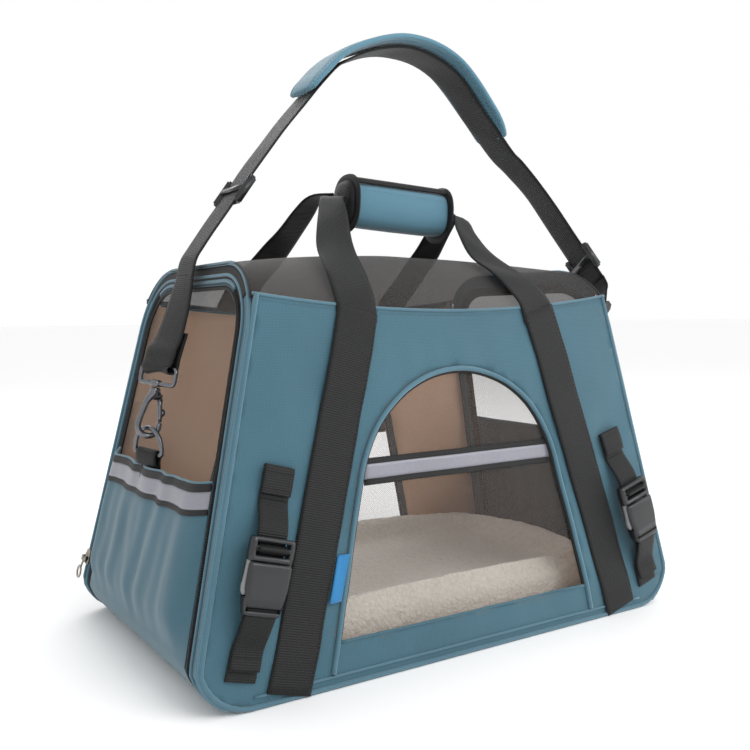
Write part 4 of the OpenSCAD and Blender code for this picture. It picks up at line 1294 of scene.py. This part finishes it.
def onTab(i, k):
    f = i / tab["rows"]
    z = tab["low"] + (tab["top"] - tab["low"]) * f
    xs = [tab[e][0] + (tab[e][1] - tab[e][0]) * f for e in ("left", "right")]
    x = xs[0] + (xs[1] - xs[0]) * k / tab["columns"]
    return panelPoint(x, z, 2.2 + 0.5 * math.sin(x / 3), -1), (x, z)


sideTab = turnTo(laidSheet("sideTab", tab["rows"] + 1, tab["columns"] + 1, onTab, labelCloth), (0, -1, 0))
place(thicken(sideTab, 0.8), "root", "label", "side_label")

bedLook = dict(length=393, width=239, corner=30, voxel=5, pressure=4.0, cap=3.5, lump=1.3, fill=0.6)


def bedRing(inset, z):
    corner = max(10, bedLook["corner"] - inset * 0.6)
    return plate(bedLook["length"] - 2 * inset, bedLook["width"] - 2 * inset, corner, z, 12)


# from under the rim, round it and in to the middle: (inset, height)
profile = ((22, 8), (6, 8.2), (1.2, 13), (0, 24), (1.4, 38), (6, 47), (13, 50.5), (21, 49), (27, 43),
           (31, 36), (37, 31.5), (50, 30), (80, 30))
bed = solidFrom("fleeceBed", [bedRing(d, z) for d, z in profile], fleece)
readyMesh(inflate(bed, bedLook["voxel"], bedLook["pressure"], bedLook["cap"]), fleece)
for vertex in bed.data.vertices:
    p = vertex.co / mm
    if p.z > 12:
        lump = noise.noise(p / 7) * 0.6 + noise.noise(p / 3.4 + Vector((5, 1, 2))) * 0.4
        vertex.co += vertex.normal * lump * bedLook["lump"] * mm
place(bed, "bed", "fleece", "fleece_bed")
boardNode = nodes["bed_board"]
boardNode.data.materials.clear()
boardNode.data.materials.append(board)

# ---------------- floor, light and camera ----------------

print("light and camera")
studio = dict(floor="fafafa", floorHalf=60, world="ffffff", worldPower=1.0, key=26, fill=9, rim=12)
far = studio["floorHalf"]
floorMesh = bpy.data.meshes.new("floor")
floorMesh.from_pydata([(-far, -far, 0), (far, -far, 0), (far, far, 0), (-far, far, 0)], [],
                      [(0, 1, 2, 3)])
floorMaterial, tree, shader = newMaterial("paintedFloor")
shader.inputs["Base Color"].default_value = linear(studio["floor"])
shader.inputs["Roughness"].default_value = 0.75
floorMesh.materials.append(floorMaterial)
floor = bpy.data.objects.new("floor", floorMesh)
bpy.context.scene.collection.objects.link(floor)

world = bpy.data.worlds.new("softWorld")
world.use_nodes = True
sky = world.node_tree.nodes["Background"]
sky.inputs["Color"].default_value = linear(studio["world"])
sky.inputs["Strength"].default_value = studio["worldPower"]
bpy.context.scene.world = world


def addLight(name, power, size, place, target=(0, 0, 0.2)):
    lamp = bpy.data.lights.new(name, "AREA")
    lamp.energy = power
    lamp.shape = "RECTANGLE"
    lamp.size, lamp.size_y = size
    light = bpy.data.objects.new(name, lamp)
    light.location = place
    light.rotation_euler = (Vector(target) - Vector(place)).to_track_quat("-Z", "Y").to_euler()
    bpy.context.scene.collection.objects.link(light)


addLight("keyLight", studio["key"], (1.6, 1.2), (0.5, -1.9, 1.6))
addLight("fillLight", studio["fill"], (1.4, 1.4), (1.7, -0.9, 0.9))
addLight("rimLight", studio["rim"], (1.6, 0.8), (0.3, 1.5, 1.6))

shot = dict(azimuth=-32.85, elevation=3.59, roll=-0.55, lens=42.75, place=(-439.8, -679.1, 263.9))
az, el, roll = (math.radians(shot[k]) for k in ("azimuth", "elevation", "roll"))
back = Vector((math.sin(az) * math.cos(el), -math.cos(az) * math.cos(el), math.sin(el)))
right = Vector((0, 0, 1)).cross(back).normalized()
up = back.cross(right)
facing = Matrix((right * math.cos(roll) + up * math.sin(roll),
                 up * math.cos(roll) - right * math.sin(roll), back))
camera = bpy.data.objects.new("camera", bpy.data.cameras.new("camera"))
camera.data.lens = shot["lens"]
camera.data.sensor_width = 36
camera.matrix_world = Matrix.Translation(Vector(shot["place"]) * mm) @ facing.transposed().to_4x4()
bpy.context.scene.collection.objects.link(camera)
bpy.context.scene.camera = camera
bpy.context.scene.view_settings.view_transform = "Standard"
